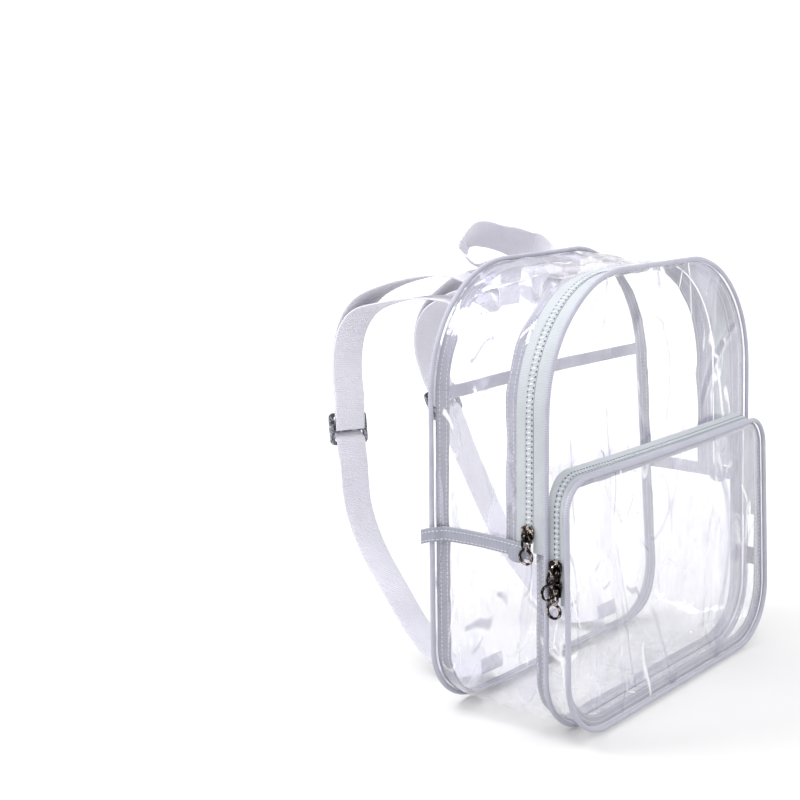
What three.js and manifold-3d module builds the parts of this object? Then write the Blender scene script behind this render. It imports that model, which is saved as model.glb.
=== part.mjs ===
// A clear film backpack: a zipped main body, a zipped front pocket, a carry handle and two webbing straps.
// Millimetres. X is to the right as seen from the front, the front faces -Y, and Z is up from the floor.
// The origin is the centre of the base, on the floor.
import * as THREE from "three";
import { mergeVertices } from "three/addons/utils/BufferGeometryUtils.js";
import Module from "manifold-3d";

const wasm = await Module();
wasm.setup();

// Clearances: between pieces that touch, between pieces that lie on each other in a curved skin, and
// what the pocket's piping needs beside the body's
const gap = 0.3;
const layGap = 0.6;
const seamEase = 0.05;

// Materials by thickness
const film = { thick: 1 };
const tape = { thick: 1 };
const webbing = { width: 25, thick: 1.3 };
const piping = { radius: 1.8, sides: 6 };
const binding = { width: 7, tilt: THREE.MathUtils.degToRad(12) };
const zipBinding = { width: 10.5, tilt: binding.tilt };
const pocketBinding = { width: 6, tilt: THREE.MathUtils.degToRad(62) };

// The main body, measured over its piping, and the pocket, whose depth is between seam planes
const body = { width: 267, height: 305, depth: 96, topCorner: 88, baseCorner: 46 };
const pocket = { height: 178, depth: 17.5, topCorner: 23 };

// How the soft bag stands: wider at its base, lower in front, with slack skins. The base is flat but
// for a share of its depth along each seam.
const stance = {
  baseSpread: 13,
  frontDrop: 5,
  backTwist: 7,
  backBulge: 6,
  frontBulge: 3,
  pocketBulge: 2,
  pocketTaper: 4,
  sideDip: 2,
  topDip: 3,
  baseRounding: 0.31,
};

// Zips: the chain's distance behind the front seam, its width, and how far it stands out of the tapes
const mainZip = { tapeWidth: 9, chainWidth: 6, rearTape: 7, above: 0.7, below: 0.7 };
const pocketZip = { tapeWidth: 5.7, chainWidth: 5.2, above: 0.7, below: 0.7 };
const pocketZipEnd = 96;

// Bands: folded tape over the side seams and across the back panel
const sideBand = { level: 127, width: 10, arch: 1.5, drop: 4, tail: 5, front: 12, lead: 9 };
const crossBand = { level: 219, width: 9, endInset: 7 };
const sideTab = { level: 63, height: 14, length: 9 };

// Sliders and pulls
// The shoulder, cheek and nose are shares of the slider's half length and of its mouth; the haunch and
// crown are shares of the eye's height and length.
const sliderBend = { shoulder: 0.2, cheek: 0.75, nose: 0.6 };
const eyeBend = { haunch: 0.6, crown: 0.28 };
const slider = { length: 11, mouth: 9.4, tail: 7.2, plate: 1.2, lift: 0.5, post: 2.2, postWidth: 1.6 };
const eye = { length: 4.4, height: 3, wall: 1.2, width: 2 };
const pull = { length: 20.5, thick: 1.3, headWidth: 7, bar: 1.4, chamfer: 1, neck: 5 };
const pullWindow = { width: 4.2, length: 6.6 };
const pullRing = { radius: 5.5, hole: 3.9 };
const mainSliderLevel = 139;
const pocketSliderLevels = { upper: 120, lower: 107.5 };
const upperPullTilt = THREE.MathUtils.degToRad(24);

// Straps and handle
const strap = { reach: 150, tailLength: 11, openShare: 0.75, openDrop: 20, openCurve: 0.8, clearRun: 9 };
const strapWeave = { ease: 0.35, layerEase: 0.1, lead: 2, edge: 0.4, settle: 8 };
const ring = { width: 34, height: 25, bar: 3.2, thick: 3, corner: 3, holeCorner: 1, below: 22, standOff: 8.5, lean: 0.88 };
const adjuster = { width: 32, frame: 3, slot: 7, bar: 4.5, thick: 3, corner: 4, slotCorner: 1 };
const handle = { spread: 79, back: 42, rise: 19, rootLength: 9, rootDrop: 5 };
const ringTab = { side: 40, foot: 13, lead: 3, swell: 2.2, over: 1.6, close: 6, pinch: 1.4 };

// Where the seams run, worked out from the sizes over the piping
const pipingSeat = (piping.radius + gap) / Math.SQRT2;
const pipingReach = pipingSeat + piping.radius;
const seamDepth = body.depth - 2 * pipingReach;
const backPlane = seamDepth / 2;
const frontPlane = -seamDepth / 2;
const pocketPlane = frontPlane - pocket.depth;
const pocketInset = piping.radius - pipingSeat + gap + seamEase;
const filmEdge = film.thick + gap;
const ringLevel = body.height - ring.below;

const { clamp, lerp } = THREE.MathUtils;

// Maps a point of the square-cut bag to where it is on the standing one
function stand(x, y, z) {
  const rise = z / body.height;
  const pocketRise = clamp(z / pocket.height, 0, 1);
  const back = clamp((y - frontPlane) / seamDepth, 0, 1);
  const forward = clamp((frontPlane - y) / pocket.depth, 0, 1);
  const across = Math.max(0, 1 - (2 * x / body.width) ** 2);
  const belly = across * Math.max(0, 4 * rise * (1 - rise));
  const pocketBelly = across * 4 * pocketRise * (1 - pocketRise);
  const twist = stance.backTwist * clamp(x / body.width + 0.5, 0, 1) * (2 * rise - 1);
  return new THREE.Vector3(
    x * (1 + (stance.baseSpread / body.width) * (1 - rise)),
    y +
      back * (stance.backBulge * belly + twist) -
      (1 - back) * stance.frontBulge * belly -
      forward * (stance.pocketBulge * pocketBelly - stance.pocketTaper * pocketRise),
    z * (1 - (stance.frontDrop / body.height) * (1 - back)),
  );
}

// Stations along a straight side: points with a common outward direction
function sideStations(x, from, to, count) {
  return Array.from({ length: count + 1 }, (_, k) => ({
    x,
    z: lerp(from, to, k / count),
    radius: 0,
    dx: Math.sign(x),
    dz: 0,
  }));
}

// Stations round a quarter corner, clockwise as seen from the front, from the angle given
function cornerStations(x, z, radius, from, count) {
  return Array.from({ length: count + 1 }, (_, k) => {
    const angle = from - (k / count) * (Math.PI / 2);
    return { x, z, radius, dx: Math.cos(angle), dz: Math.sin(angle) };
  });
}

// Stations between two corners along the top or the base
function levelStations(from, to, z, dz, count) {
  return Array.from({ length: count - 1 }, (_, k) => ({
    x: lerp(from, to, (k + 1) / count),
    z,
    radius: 0,
    dx: 0,
    dz,
  }));
}

// A round-cornered outline, split into an upper arch and a lower U at the split level
function outlineOf({ half, low, high, topCorner, baseCorner, split }) {
  const topZ = high - topCorner;
  const baseZ = low + baseCorner;
  const topX = half - topCorner;
  const baseX = half - baseCorner;
  const upper = [
    ...sideStations(-half, split, topZ, 4).slice(0, -1),
    ...cornerStations(-topX, topZ, topCorner, Math.PI, 6),
    ...levelStations(-topX, topX, high, 1, 3),
    ...cornerStations(topX, topZ, topCorner, Math.PI / 2, 6),
    ...sideStations(half, topZ, split, 4).slice(1),
  ];
  const lower = [
    ...sideStations(half, split - gap, baseZ, 2).slice(0, -1),
    ...cornerStations(baseX, baseZ, baseCorner, 0, 4),
    ...levelStations(baseX, -baseX, low, -1, 4),
    ...cornerStations(-baseX, baseZ, baseCorner, -Math.PI / 2, 4),
    ...sideStations(-half, baseZ, split - gap, 2).slice(1),
  ];
  return { upper, lower, loop: [...upper, ...lower.slice(1, -1)], middle: (low + high) / 2 };
}

const bodySeam = {
  half: body.width / 2 - pipingReach,
  low: pipingReach,
  high: body.height - pipingReach,
  topCorner: body.topCorner - pipingReach,
  baseCorner: body.baseCorner - pipingReach,
  split: sideBand.level,
};
const pocketSeam = {
  half: bodySeam.half - pocketInset,
  low: bodySeam.low + pocketInset,
  high: pocket.height - pipingReach,
  topCorner: pocket.topCorner - pipingReach,
  baseCorner: bodySeam.baseCorner - pocketInset,
  split: pocketZipEnd,
};
const bodyOutline = outlineOf(bodySeam);
const pocketOutline = outlineOf(pocketSeam);

// The point of an outline at a station, a distance out from the seam, at depth y
function rim(station, out, y) {
  const reach = station.radius + out;
  return stand(station.x + reach * station.dx, y, station.z + reach * station.dz);
}

// How far the body's slack gusset lies out of the seam line, at a depth behind the front seam
function slack(station, depth) {
  const share = clamp(depth / seamDepth, 0, 1);
  const wave = Math.sin(Math.PI * share);
  const plateau = Math.min(1, Math.min(share, 1 - share) / stance.baseRounding);
  const base = Math.max(0, -station.dz) ** 2;
  const top = Math.max(0, station.dz) ** 2;
  return base * pipingReach * plateau - (1 - base - top) * stance.sideDip * wave - top * stance.topDip * wave;
}

// A point of the body's gusset: depth behind the front seam, and distance out of the slack film
function onGusset(station, depth, out) {
  return rim(station, out + slack(station, depth), frontPlane + depth);
}

// A point of the pocket's gusset: depth in front of the body's front seam
function onPocketGusset(station, depth, out) {
  return rim(station, out, frontPlane - depth);
}

// A side station on the left (-1) or right (1) of the body, at a level
function bodySide(side, z) {
  return { x: side * bodySeam.half, z, radius: 0, dx: side, dz: 0 };
}

// Carries each corner of a three.js geometry to its place
function carried(geometry, place) {
  const { position, uv } = geometry.attributes;
  const from = new THREE.Vector3();
  for (let i = 0; i < position.count; i++) {
    from.fromBufferAttribute(position, i);
    const to = place(from, uv.getX(i), uv.getY(i));
    position.setXYZ(i, to.x, to.y, to.z);
  }
  return geometry;
}

// An open sheet or ribbon: place gets the step along it, the share across and the share through
function sheet(steps, rows, place) {
  return carried(new THREE.BoxGeometry(1, 1, 1, steps, rows, 1), (at) =>
    place(Math.round((at.x + 0.5) * steps), at.y + 0.5, at.z + 0.5),
  );
}

// A closed loop with a polygon section: place gets the step round the loop and the section's corner
function hoop(steps, corners, place) {
  return carried(new THREE.TorusGeometry(2, 1, corners, steps), (at, u, v) =>
    place(Math.round(u * steps) % steps, Math.round(v * corners) % corners),
  );
}

// A closed panel: place gets the step round it, the share out from its middle and its face
function dish(steps, rings, place) {
  const rows = 2 * rings + 1;
  return carried(new THREE.SphereGeometry(1, steps, rows), (at, u, v) => {
    const row = Math.round((1 - v) * rows);
    const face = row > rings ? 1 : 0;
    const share = (face ? rows - row : row) / rings;
    return place(share ? Math.round(u * steps) % steps : 0, share, face);
  });
}

// One closed body with only positions, its faces turned outward
function welded(geometry) {
  const bare = geometry.clone();
  bare.deleteAttribute("normal");
  bare.deleteAttribute("uv");
  const merged = mergeVertices(bare, 1e-4);
  const { position } = merged.attributes;
  const index = merged.index.array;
  const [a, b, c] = [new THREE.Vector3(), new THREE.Vector3(), new THREE.Vector3()];
  let volume = 0;
  for (let i = 0; i < index.length; i += 3) {
    a.fromBufferAttribute(position, index[i]);
    b.fromBufferAttribute(position, index[i + 1]);
    c.fromBufferAttribute(position, index[i + 2]);
    volume += a.dot(b.cross(c));
  }
  if (volume < 0) {
    for (let i = 0; i < index.length; i += 3) [index[i], index[i + 1]] = [index[i + 1], index[i]];
  }
  return merged;
}

function solidOf(geometry) {
  const merged = welded(geometry);
  return new wasm.Manifold(
    new wasm.Mesh({
      numProp: 3,
      vertProperties: merged.attributes.position.array,
      triVerts: new Uint32Array(merged.index.array),
    }),
  );
}

function joined(geometries) {
  const whole = geometries.map(solidOf).reduce((sum, next) => sum.add(next));
  const mesh = whole.getMesh();
  return new THREE.BufferGeometry()
    .setAttribute("position", new THREE.BufferAttribute(new Float32Array(mesh.vertProperties), 3))
    .setIndex(new THREE.BufferAttribute(new Uint32Array(mesh.triVerts), 1));
}

const looks = {
  film: () => new THREE.MeshStandardMaterial({ color: 0xeef0f8, roughness: 0.08, transparent: true, opacity: 0.3 }),
  tape: () => new THREE.MeshStandardMaterial({ color: 0xdfdde8, roughness: 0.85 }),
  chain: () => new THREE.MeshStandardMaterial({ color: 0xdde4e4, roughness: 0.45 }),
  webbing: () => new THREE.MeshStandardMaterial({ color: 0xe4e1ec, roughness: 0.8 }),
  metal: () => new THREE.MeshStandardMaterial({ color: 0x4a4442, roughness: 0.25, metalness: 1 }),
  buckle: () => new THREE.MeshStandardMaterial({ color: 0x8b8d92, roughness: 0.35, metalness: 1 }),
  tab: () => new THREE.MeshStandardMaterial({ color: 0x6a5f66, roughness: 0.8 }),
};

const backpack = new THREE.Group();

function addPiece(name, geometry, look) {
  const merged = welded(geometry);
  merged.computeVertexNormals();
  const mesh = new THREE.Mesh(merged, looks[look]());
  mesh.name = name;
  backpack.add(mesh);
  return mesh;
}

// Film panels: a skin inside its seam, whose outer face lies in the seam plane
function addPanel(name, outline, plane, inward) {
  const rings = 4;
  const geometry = dish(outline.loop.length, rings, (step, share, face) => {
    const station = outline.loop[step];
    const x = (station.x + station.radius * station.dx) * share;
    const z = lerp(outline.middle, station.z + station.radius * station.dz, share);
    return stand(x, plane + inward * film.thick * face, z);
  });
  addPiece(name, geometry, "film");
}

// Piping: a cord in the corner where a panel meets its gusset
function addPiping(name, outline, plane, outward) {
  const geometry = hoop(outline.loop.length, piping.sides, (step, corner) => {
    const angle = (corner / piping.sides) * 2 * Math.PI;
    const out = pipingSeat + piping.radius * Math.cos(angle);
    const ahead = pipingSeat + piping.radius * Math.sin(angle);
    return rim(outline.loop[step], out, plane + outward * ahead);
  });
  addPiece(name, geometry, "tape");
}

// The section of a bound seam allowance: depth in from the seam and distance out of the film
function bindingSection({ width, tilt }) {
  const start = { depth: filmEdge + layGap, out: -film.thick - layGap };
  const along = { depth: Math.cos(tilt), out: -Math.sin(tilt) };
  const through = { depth: -Math.sin(tilt), out: -Math.cos(tilt) };
  const corner = (length, thick) => ({
    depth: start.depth + along.depth * length + through.depth * thick,
    out: start.out + along.out * length + through.out * thick,
  });
  return [corner(0, 0), corner(width, 0), corner(width, tape.thick), corner(0, tape.thick)];
}

function addSeamBinding(name, outline, kind, place) {
  const section = bindingSection(kind);
  const geometry = hoop(outline.loop.length, section.length, (step, corner) =>
    place(outline.loop[step], section[corner].depth, section[corner].out),
  );
  addPiece(name, geometry, "tape");
}

// A sheet of the gusset along some stations, between two depths
function addGussetSheet(name, stations, from, to, rows, skin, look, place) {
  const geometry = sheet(stations.length - 1, rows, (step, across, through) =>
    place(stations[step], lerp(from, to, across), lerp(skin.bottom, skin.top, through)),
  );
  addPiece(name, geometry, look);
}

// Stations whose two ends are moved along their straight sides to given levels
function trimmed(stations, firstLevel, lastLevel) {
  const kept = stations.map((station) => ({ ...station }));
  kept[0].z = firstLevel;
  kept[kept.length - 1].z = lastLevel;
  return kept;
}

const flatSkin = { bottom: -film.thick, top: 0 };

function addMainBody() {
  addPanel("back_panel", bodyOutline, backPlane, -1);
  addPanel("front_panel", bodyOutline, frontPlane, 1);
  addPiping("back_piping", bodyOutline, backPlane, 1);
  addPiping("front_piping", bodyOutline, frontPlane, -1);
  addSeamBinding("back_seam_binding", bodyOutline, binding, (station, depth, out) =>
    onGusset(station, seamDepth - depth, out),
  );
  addSeamBinding("front_seam_binding", bodyOutline, binding, onGusset);
  const end = seamDepth - filmEdge;
  addGussetSheet("lower_gusset", bodyOutline.lower, filmEdge, end, 6, flatSkin, "film", onGusset);
}

// Depths behind the front seam where the main zip's strips begin
const zipStart = {
  frontTape: filmEdge,
  chain: filmEdge + mainZip.tapeWidth + gap,
  rearTape: filmEdge + mainZip.tapeWidth + mainZip.chainWidth + 2 * gap,
};
const zipGussetEnd = zipStart.rearTape + mainZip.rearTape;
const chainMiddle = zipStart.chain + mainZip.chainWidth / 2;

function chainSkin(zip) {
  return { bottom: -tape.thick - zip.below, top: zip.above };
}

function addMainZip() {
  const { upper } = bodyOutline;
  const skin = { bottom: -tape.thick, top: 0 };
  const { frontTape, chain, rearTape } = zipStart;
  const frontEnd = frontTape + mainZip.tapeWidth;
  addGussetSheet("main_zip_tape_front", upper, frontTape, frontEnd, 1, skin, "tape", onGusset);
  addGussetSheet("main_zip_tape_rear", upper, rearTape, zipGussetEnd, 1, skin, "tape", onGusset);
  const chainStations = trimmed(upper, mainSliderLevel - slider.length / 2 + slider.post + gap, bandTop + gap);
  const chainEnd = chain + mainZip.chainWidth;
  addGussetSheet("main_zip_chain", chainStations, chain, chainEnd, 1, chainSkin(mainZip), "chain", onGusset);
  const gussetStart = zipGussetEnd + gap;
  const gussetEnd = seamDepth - filmEdge;
  addGussetSheet("upper_gusset", upper, gussetStart, gussetEnd, 4, flatSkin, "film", onGusset);
  const [a, b] = bindingSection(zipBinding);
  const shift = zipGussetEnd - filmEdge;
  const geometry = sheet(upper.length - 1, 1, (step, across, through) => {
    const depth = lerp(a.depth, b.depth, across) + shift;
    const out = lerp(a.out, b.out, across) - through * tape.thick;
    return onGusset(upper[step], depth, out);
  });
  addPiece("zip_gusset_binding", geometry, "tape");
}

// Side bands: tape over the ends of the zip gusset, out over the back piping to a free tail
const bandTop = sideBand.level + sideBand.width / 2 + sideBand.arch;

function addSideBand(name, side) {
  const low = layGap + tape.thick / 2;
  const high = pipingReach + gap + tape.thick;
  const seam = seamDepth;
  const flatSteps = 4;
  const flat = Array.from({ length: flatSteps + 1 }, (_, k) => ({
    depth: lerp(sideBand.front, seam - sideBand.lead, k / flatSteps),
    out: low,
  }));
  const path = [
    ...flat,
    { depth: seam - piping.radius, out: high },
    { depth: seam + pipingReach, out: high },
    { depth: seam + pipingReach + sideBand.tail, out: high },
  ];
  const steps = path.length - 1;
  const geometry = sheet(steps, 1, (step, across, through) => {
    const lift = sideBand.arch * Math.sin((Math.PI * step) / steps) - sideBand.drop * (step / steps) ** 2;
    const level = sideBand.level + lift + (across - 0.5) * sideBand.width;
    return onGusset(bodySide(side, level), path[step].depth, path[step].out + (through - 0.5) * tape.thick);
  });
  addPiece(name, geometry, "tape");
}

function addCrossBand() {
  const half = bodySeam.half - crossBand.endInset;
  const face = backPlane - film.thick - layGap;
  const steps = 12;
  const geometry = sheet(steps, 1, (step, across, through) =>
    stand(
      lerp(-half, half, step / steps),
      face - through * tape.thick,
      crossBand.level + (across - 0.5) * crossBand.width,
    ),
  );
  addPiece("back_cross_band", geometry, "tape");
}

// The pocket's strips, from the front panel forward
const pocketStart = layGap;
const pocketChain = pocketStart + pocketZip.tapeWidth + gap;
const pocketFrontTape = pocketChain + pocketZip.chainWidth + gap;
const pocketEnd = pocket.depth - filmEdge;

function addPocket() {
  const { upper, lower } = pocketOutline;
  addPanel("pocket_panel", pocketOutline, pocketPlane, 1);
  addPiping("pocket_piping", pocketOutline, pocketPlane, -1);
  addSeamBinding("pocket_seam_binding", pocketOutline, pocketBinding, (station, depth, out) =>
    onPocketGusset(station, pocket.depth - depth, out),
  );
  const skin = { bottom: -tape.thick, top: 0 };
  const rearEnd = pocketStart + pocketZip.tapeWidth;
  addGussetSheet("pocket_zip_tape_rear", upper, pocketStart, rearEnd, 1, skin, "tape", onPocketGusset);
  addGussetSheet("pocket_zip_tape_front", upper, pocketFrontTape, pocketEnd, 1, skin, "tape", onPocketGusset);
  const leftEnd = pocketSliderLevels.upper - slider.length / 2 + slider.post + gap;
  const chainStations = trimmed(upper, leftEnd, pocketZipEnd + tape.thick);
  const chainEnd = pocketChain + pocketZip.chainWidth;
  const chain = chainSkin(pocketZip);
  addGussetSheet("pocket_zip_chain", chainStations, pocketChain, chainEnd, 1, chain, "chain", onPocketGusset);
  addGussetSheet("pocket_gusset", lower, pocketStart, pocketEnd, 2, flatSkin, "film", onPocketGusset);
}

// A plain folded tab, sewn into the right front seam and lying on the pocket's gusset
function addSideTab() {
  const from = pipingReach + gap;
  const geometry = sheet(1, 1, (step, across, through) => {
    const level = sideTab.level + (across - 0.5) * sideTab.height;
    const station = { x: pocketSeam.half, z: level, radius: 0, dx: 1, dz: 0 };
    return onPocketGusset(station, from + step * sideTab.length, gap + through * tape.thick);
  });
  addPiece("side_tab", geometry, "tab");
}

// A rounded rectangle as a shape, or as a hole in one
function roundedRect(target, width, height, corner, x = 0, y = 0) {
  const [w, h] = [width / 2, height / 2];
  target.moveTo(x - w + corner, y - h);
  target.lineTo(x + w - corner, y - h);
  target.absarc(x + w - corner, y - h + corner, corner, -Math.PI / 2, 0);
  target.lineTo(x + w, y + h - corner);
  target.absarc(x + w - corner, y + h - corner, corner, 0, Math.PI / 2);
  target.lineTo(x - w + corner, y + h);
  target.absarc(x - w + corner, y + h - corner, corner, Math.PI / 2, Math.PI);
  target.lineTo(x - w, y - h + corner);
  target.absarc(x - w + corner, y - h + corner, corner, Math.PI, 1.5 * Math.PI);
  return target;
}

// A flat plate cut from a shape, its mid-plane at z = 0
function plate(shape, thick, curveSegments) {
  return new THREE.ExtrudeGeometry(shape, { depth: thick, bevelEnabled: false, curveSegments }).translate(
    0,
    0,
    -thick / 2,
  );
}

// Slider frame: x across the zip, y up along it, z out of it, with z = 0 on the tapes' outer face
const topPlate = mainZip.above + slider.lift;
const underPlate = -tape.thick - mainZip.below - slider.lift - slider.plate;
const hingeRise = topPlate + slider.plate + eye.height / 2;

function sliderGeometry() {
  const [half, mouth, tail] = [slider.length / 2, slider.mouth / 2, slider.tail / 2];
  const outline = new THREE.Shape();
  outline.moveTo(-tail, -half);
  outline.lineTo(tail, -half);
  outline.lineTo(mouth, half * sliderBend.shoulder);
  outline.lineTo(mouth, half * sliderBend.cheek);
  outline.lineTo(mouth * sliderBend.nose, half);
  outline.lineTo(-mouth * sliderBend.nose, half);
  outline.lineTo(-mouth, half * sliderBend.cheek);
  outline.lineTo(-mouth, half * sliderBend.shoulder);
  const top = plate(outline, slider.plate, 1).translate(0, 0, topPlate + slider.plate / 2);
  const under = plate(outline, slider.plate, 1).translate(0, 0, underPlate + slider.plate / 2);
  const depth = topPlate - underPlate;
  const post = new THREE.BoxGeometry(slider.postWidth, slider.post, depth).translate(
    0,
    -half + slider.post / 2,
    underPlate + depth / 2,
  );
  const arch = new THREE.Shape();
  const [reach, rise] = [eye.length / 2 + eye.wall, eye.height + eye.wall];
  const foot = -slider.plate / 2;
  arch.moveTo(-reach, foot);
  arch.lineTo(reach, foot);
  arch.lineTo(reach, rise * eyeBend.haunch);
  arch.lineTo(reach * eyeBend.haunch, rise);
  arch.lineTo(-reach * eyeBend.haunch, rise);
  arch.lineTo(-reach, rise * eyeBend.haunch);
  const hole = new THREE.Path();
  hole.moveTo(-eye.length / 2, 0);
  hole.lineTo(eye.length / 2, 0);
  hole.lineTo(eye.length / 2, eye.height * eyeBend.haunch);
  hole.lineTo(eye.length * eyeBend.crown, eye.height);
  hole.lineTo(-eye.length * eyeBend.crown, eye.height);
  hole.lineTo(-eye.length / 2, eye.height * eyeBend.haunch);
  arch.holes.push(hole);
  const bridge = plate(arch, eye.width, 1)
    .rotateX(Math.PI / 2)
    .rotateZ(Math.PI / 2)
    .translate(0, 0, topPlate + slider.plate);
  return joined([top, under, post, bridge]);
}

// Pull, hanging: its hinge axis is x through the origin, and it hangs along -y
function pullGeometry() {
  const ringY = -pull.length + pullRing.radius + pull.bar / 2;
  const head = pull.headWidth / 2;
  const shape = new THREE.Shape();
  const meet = Math.asin(pull.neck / 2 / pullRing.radius);
  const windowEnd = -pull.bar / 2 - pullWindow.length;
  const shoulder = windowEnd - pull.bar / 4;
  shape.moveTo(-head + pull.chamfer, pull.bar / 2);
  shape.lineTo(-head, 0);
  shape.lineTo(-head, shoulder);
  shape.lineTo(-pull.neck / 2, windowEnd - pull.bar);
  shape.absarc(0, ringY, pullRing.radius, Math.PI / 2 + meet, Math.PI * 2.5 - meet, false);
  shape.lineTo(pull.neck / 2, windowEnd - pull.bar);
  shape.lineTo(head, shoulder);
  shape.lineTo(head, 0);
  shape.lineTo(head - pull.chamfer, pull.bar / 2);
  const window = new THREE.Path();
  const windowHalf = pullWindow.width / 2;
  window.moveTo(-windowHalf, -pull.bar / 2);
  window.lineTo(windowHalf, -pull.bar / 2);
  window.lineTo(windowHalf, windowEnd);
  window.lineTo(-windowHalf, windowEnd);
  const hole = new THREE.Path();
  hole.absarc(0, ringY, pullRing.hole, 0, 2 * Math.PI, false);
  shape.holes.push(window, hole);
  return plate(shape, pull.thick, 8);
}

// A slider and its pull on the left side, at a point of the tapes' outer face
function addSliderAndPull(label, spot, tilt) {
  const turned = (geometry) => geometry.rotateX(Math.PI / 2).rotateZ(-Math.PI / 2);
  const body = addPiece(`${label}_slider`, turned(sliderGeometry()), "metal");
  body.position.copy(spot);
  const tilted = addPiece(`${label}_pull`, turned(pullGeometry().rotateX(tilt)), "metal");
  tilted.position.set(spot.x - hingeRise, spot.y, spot.z);
}

function addSliders() {
  const main = onGusset(bodySide(-1, mainSliderLevel), chainMiddle, 0);
  addSliderAndPull("main", main, 0);
  const pocketMiddle = pocketChain + pocketZip.chainWidth / 2;
  for (const [label, level] of Object.entries(pocketSliderLevels)) {
    const station = { x: -pocketSeam.half, z: level, radius: 0, dx: -1, dz: 0 };
    const spot = onPocketGusset(station, pocketMiddle, 0);
    addSliderAndPull(`pocket_${label}`, spot, label === "upper" ? -upperPullTilt : 0);
  }
}

// A ribbon of webbing through rows of a centre point and a width direction
function ribbonGeometry(rows) {
  const tangents = rows.map((row, i) => {
    const before = rows[Math.max(0, i - 1)].at;
    const after = rows[Math.min(rows.length - 1, i + 1)].at;
    return after.clone().sub(before).normalize();
  });
  return sheet(rows.length - 1, 1, (step, across, through) => {
    const { at, wide } = rows[step];
    const along = tangents[step];
    const width = wide.clone().addScaledVector(along, -wide.dot(along)).normalize();
    const normal = along.clone().cross(width);
    return at
      .clone()
      .addScaledVector(width, (across - 0.5) * webbing.width)
      .addScaledVector(normal, (through - 0.5) * webbing.thick);
  });
}

// The direction across a strap, turned about the vertical from straight across the back
function widthAt(turn) {
  const angle = THREE.MathUtils.degToRad(turn);
  return new THREE.Vector3(Math.cos(angle), -Math.sin(angle), 0);
}

const lay = gap + webbing.thick / 2;

// A point behind the back panel: x, distance off the panel's outer face, level
function behind(x, off, z) {
  return stand(x, backPlane + off, z);
}

// A row of webbing lying along the back panel, its width following the panel
function flatRow(x, off, z) {
  const half = webbing.width / 2;
  return { at: behind(x, off, z), wide: behind(x + half, off, z).sub(behind(x - half, off, z)).normalize() };
}

// Straps, from the foot up to the ring. side is a share of half the body's width, back a share of
// the strap's reach and rise a share of the ring's level. The right strap hangs a little closer.
const strapRows = [
  { leftSide: 0.53, rightSide: 0.53, leftBack: 0.06, rightBack: 0.06, rise: 0.0302, turn: 0 },
  { leftSide: 0.53, rightSide: 0.53, leftBack: 0.18, rightBack: 0.18, rise: 0.014, turn: 0 },
  { leftSide: 0.55, rightSide: 0.52, leftBack: 0.28, rightBack: 0.33, rise: 0.0366, turn: 2 },
  { leftSide: 0.56, rightSide: 0.51, leftBack: 0.42, rightBack: 0.45, rise: 0.1024, turn: 4 },
  { leftSide: 0.57, rightSide: 0.49, leftBack: 0.555, rightBack: 0.59, rise: 0.1994, turn: 5 },
  { leftSide: 0.57, rightSide: 0.47, leftBack: 0.69, rightBack: 0.68, rise: 0.2964, turn: 7 },
  { leftSide: 0.57, rightSide: 0.44, leftBack: 0.778, rightBack: 0.75, rise: 0.3988, turn: 9 },
  { leftSide: 0.57, rightSide: 0.41, leftBack: 0.808, rightBack: 0.83, rise: 0.5065, turn: 12 },
  { leftSide: 0.56, rightSide: 0.38, leftBack: 0.838, rightBack: 0.9, rise: 0.6143, turn: 15 },
  { leftSide: 0.54, rightSide: 0.35, leftBack: 0.858, rightBack: 0.95, rise: 0.7005, turn: 17 },
  { leftSide: 0.52, rightSide: 0.33, leftBack: 0.875, rightBack: 0.97, rise: 0.7975, turn: 17 },
  { leftSide: 0.49, rightSide: 0.31, leftBack: 0.85, rightBack: 0.9, rise: 0.8945, turn: 16 },
  { leftSide: 0.45, rightSide: 0.31, leftBack: 0.785, rightBack: 0.78, rise: 0.9538, turn: 13 },
  { leftSide: 0.41, rightSide: 0.31, leftBack: 0.66, rightBack: 0.67, rise: 0.9915, turn: 9 },
  { leftSide: 0.36, rightSide: 0.31, leftBack: 0.465, rightBack: 0.49, rise: 1.0185, turn: 5 },
  { leftSide: 0.33, rightSide: 0.3, leftBack: 0.3, rightBack: 0.28, rise: 1.0239, turn: 2 },
  { leftSide: 0.31, rightSide: 0.3, leftBack: 0.22, rightBack: 0.22, rise: 1.0131, turn: 0 },
];
const adjusterRow = 8;
const sides = { left: -1, right: 1 };
const runSteps = { lower: 20, upper: 18 };

// The ring hangs from its top bar and leans out; these are its bar centres beside the back panel
const ringDrop = ring.height - ring.bar;
const ringLean = new THREE.Vector3(0, Math.cos(ring.lean), -Math.sin(ring.lean));

function ringCentres(side) {
  const top = behind(side * ringTab.side, ring.standOff, ringLevel);
  return { top, low: top.clone().addScaledVector(ringLean, ringDrop) };
}

function routeOf(key) {
  const side = sides[key];
  const points = strapRows.map((row) => {
    const x = side * row[`${key}Side`] * (body.width / 2);
    return behind(x, row[`${key}Back`] * strap.reach, row.rise * ringLevel);
  });
  return new THREE.CatmullRomCurve3(points, false, "centripetal");
}

function turnAt(share) {
  const place = share * (strapRows.length - 1);
  const low = Math.min(strapRows.length - 2, Math.floor(place));
  return lerp(strapRows[low].turn, strapRows[low + 1].turn, place - low);
}

// The adjuster's frame on a strap's route: its centre, up the strap, across it and out of it
function adjusterFrame(key) {
  const route = routeOf(key);
  const share = adjusterRow / (strapRows.length - 1);
  const up = route.getTangent(share);
  const wide = widthAt(turnAt(share));
  const across = wide.addScaledVector(up, -wide.dot(up)).normalize();
  const out = across.clone().cross(up).negate();
  return { centre: route.getPoint(share), up, across, out, share };
}

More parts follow.
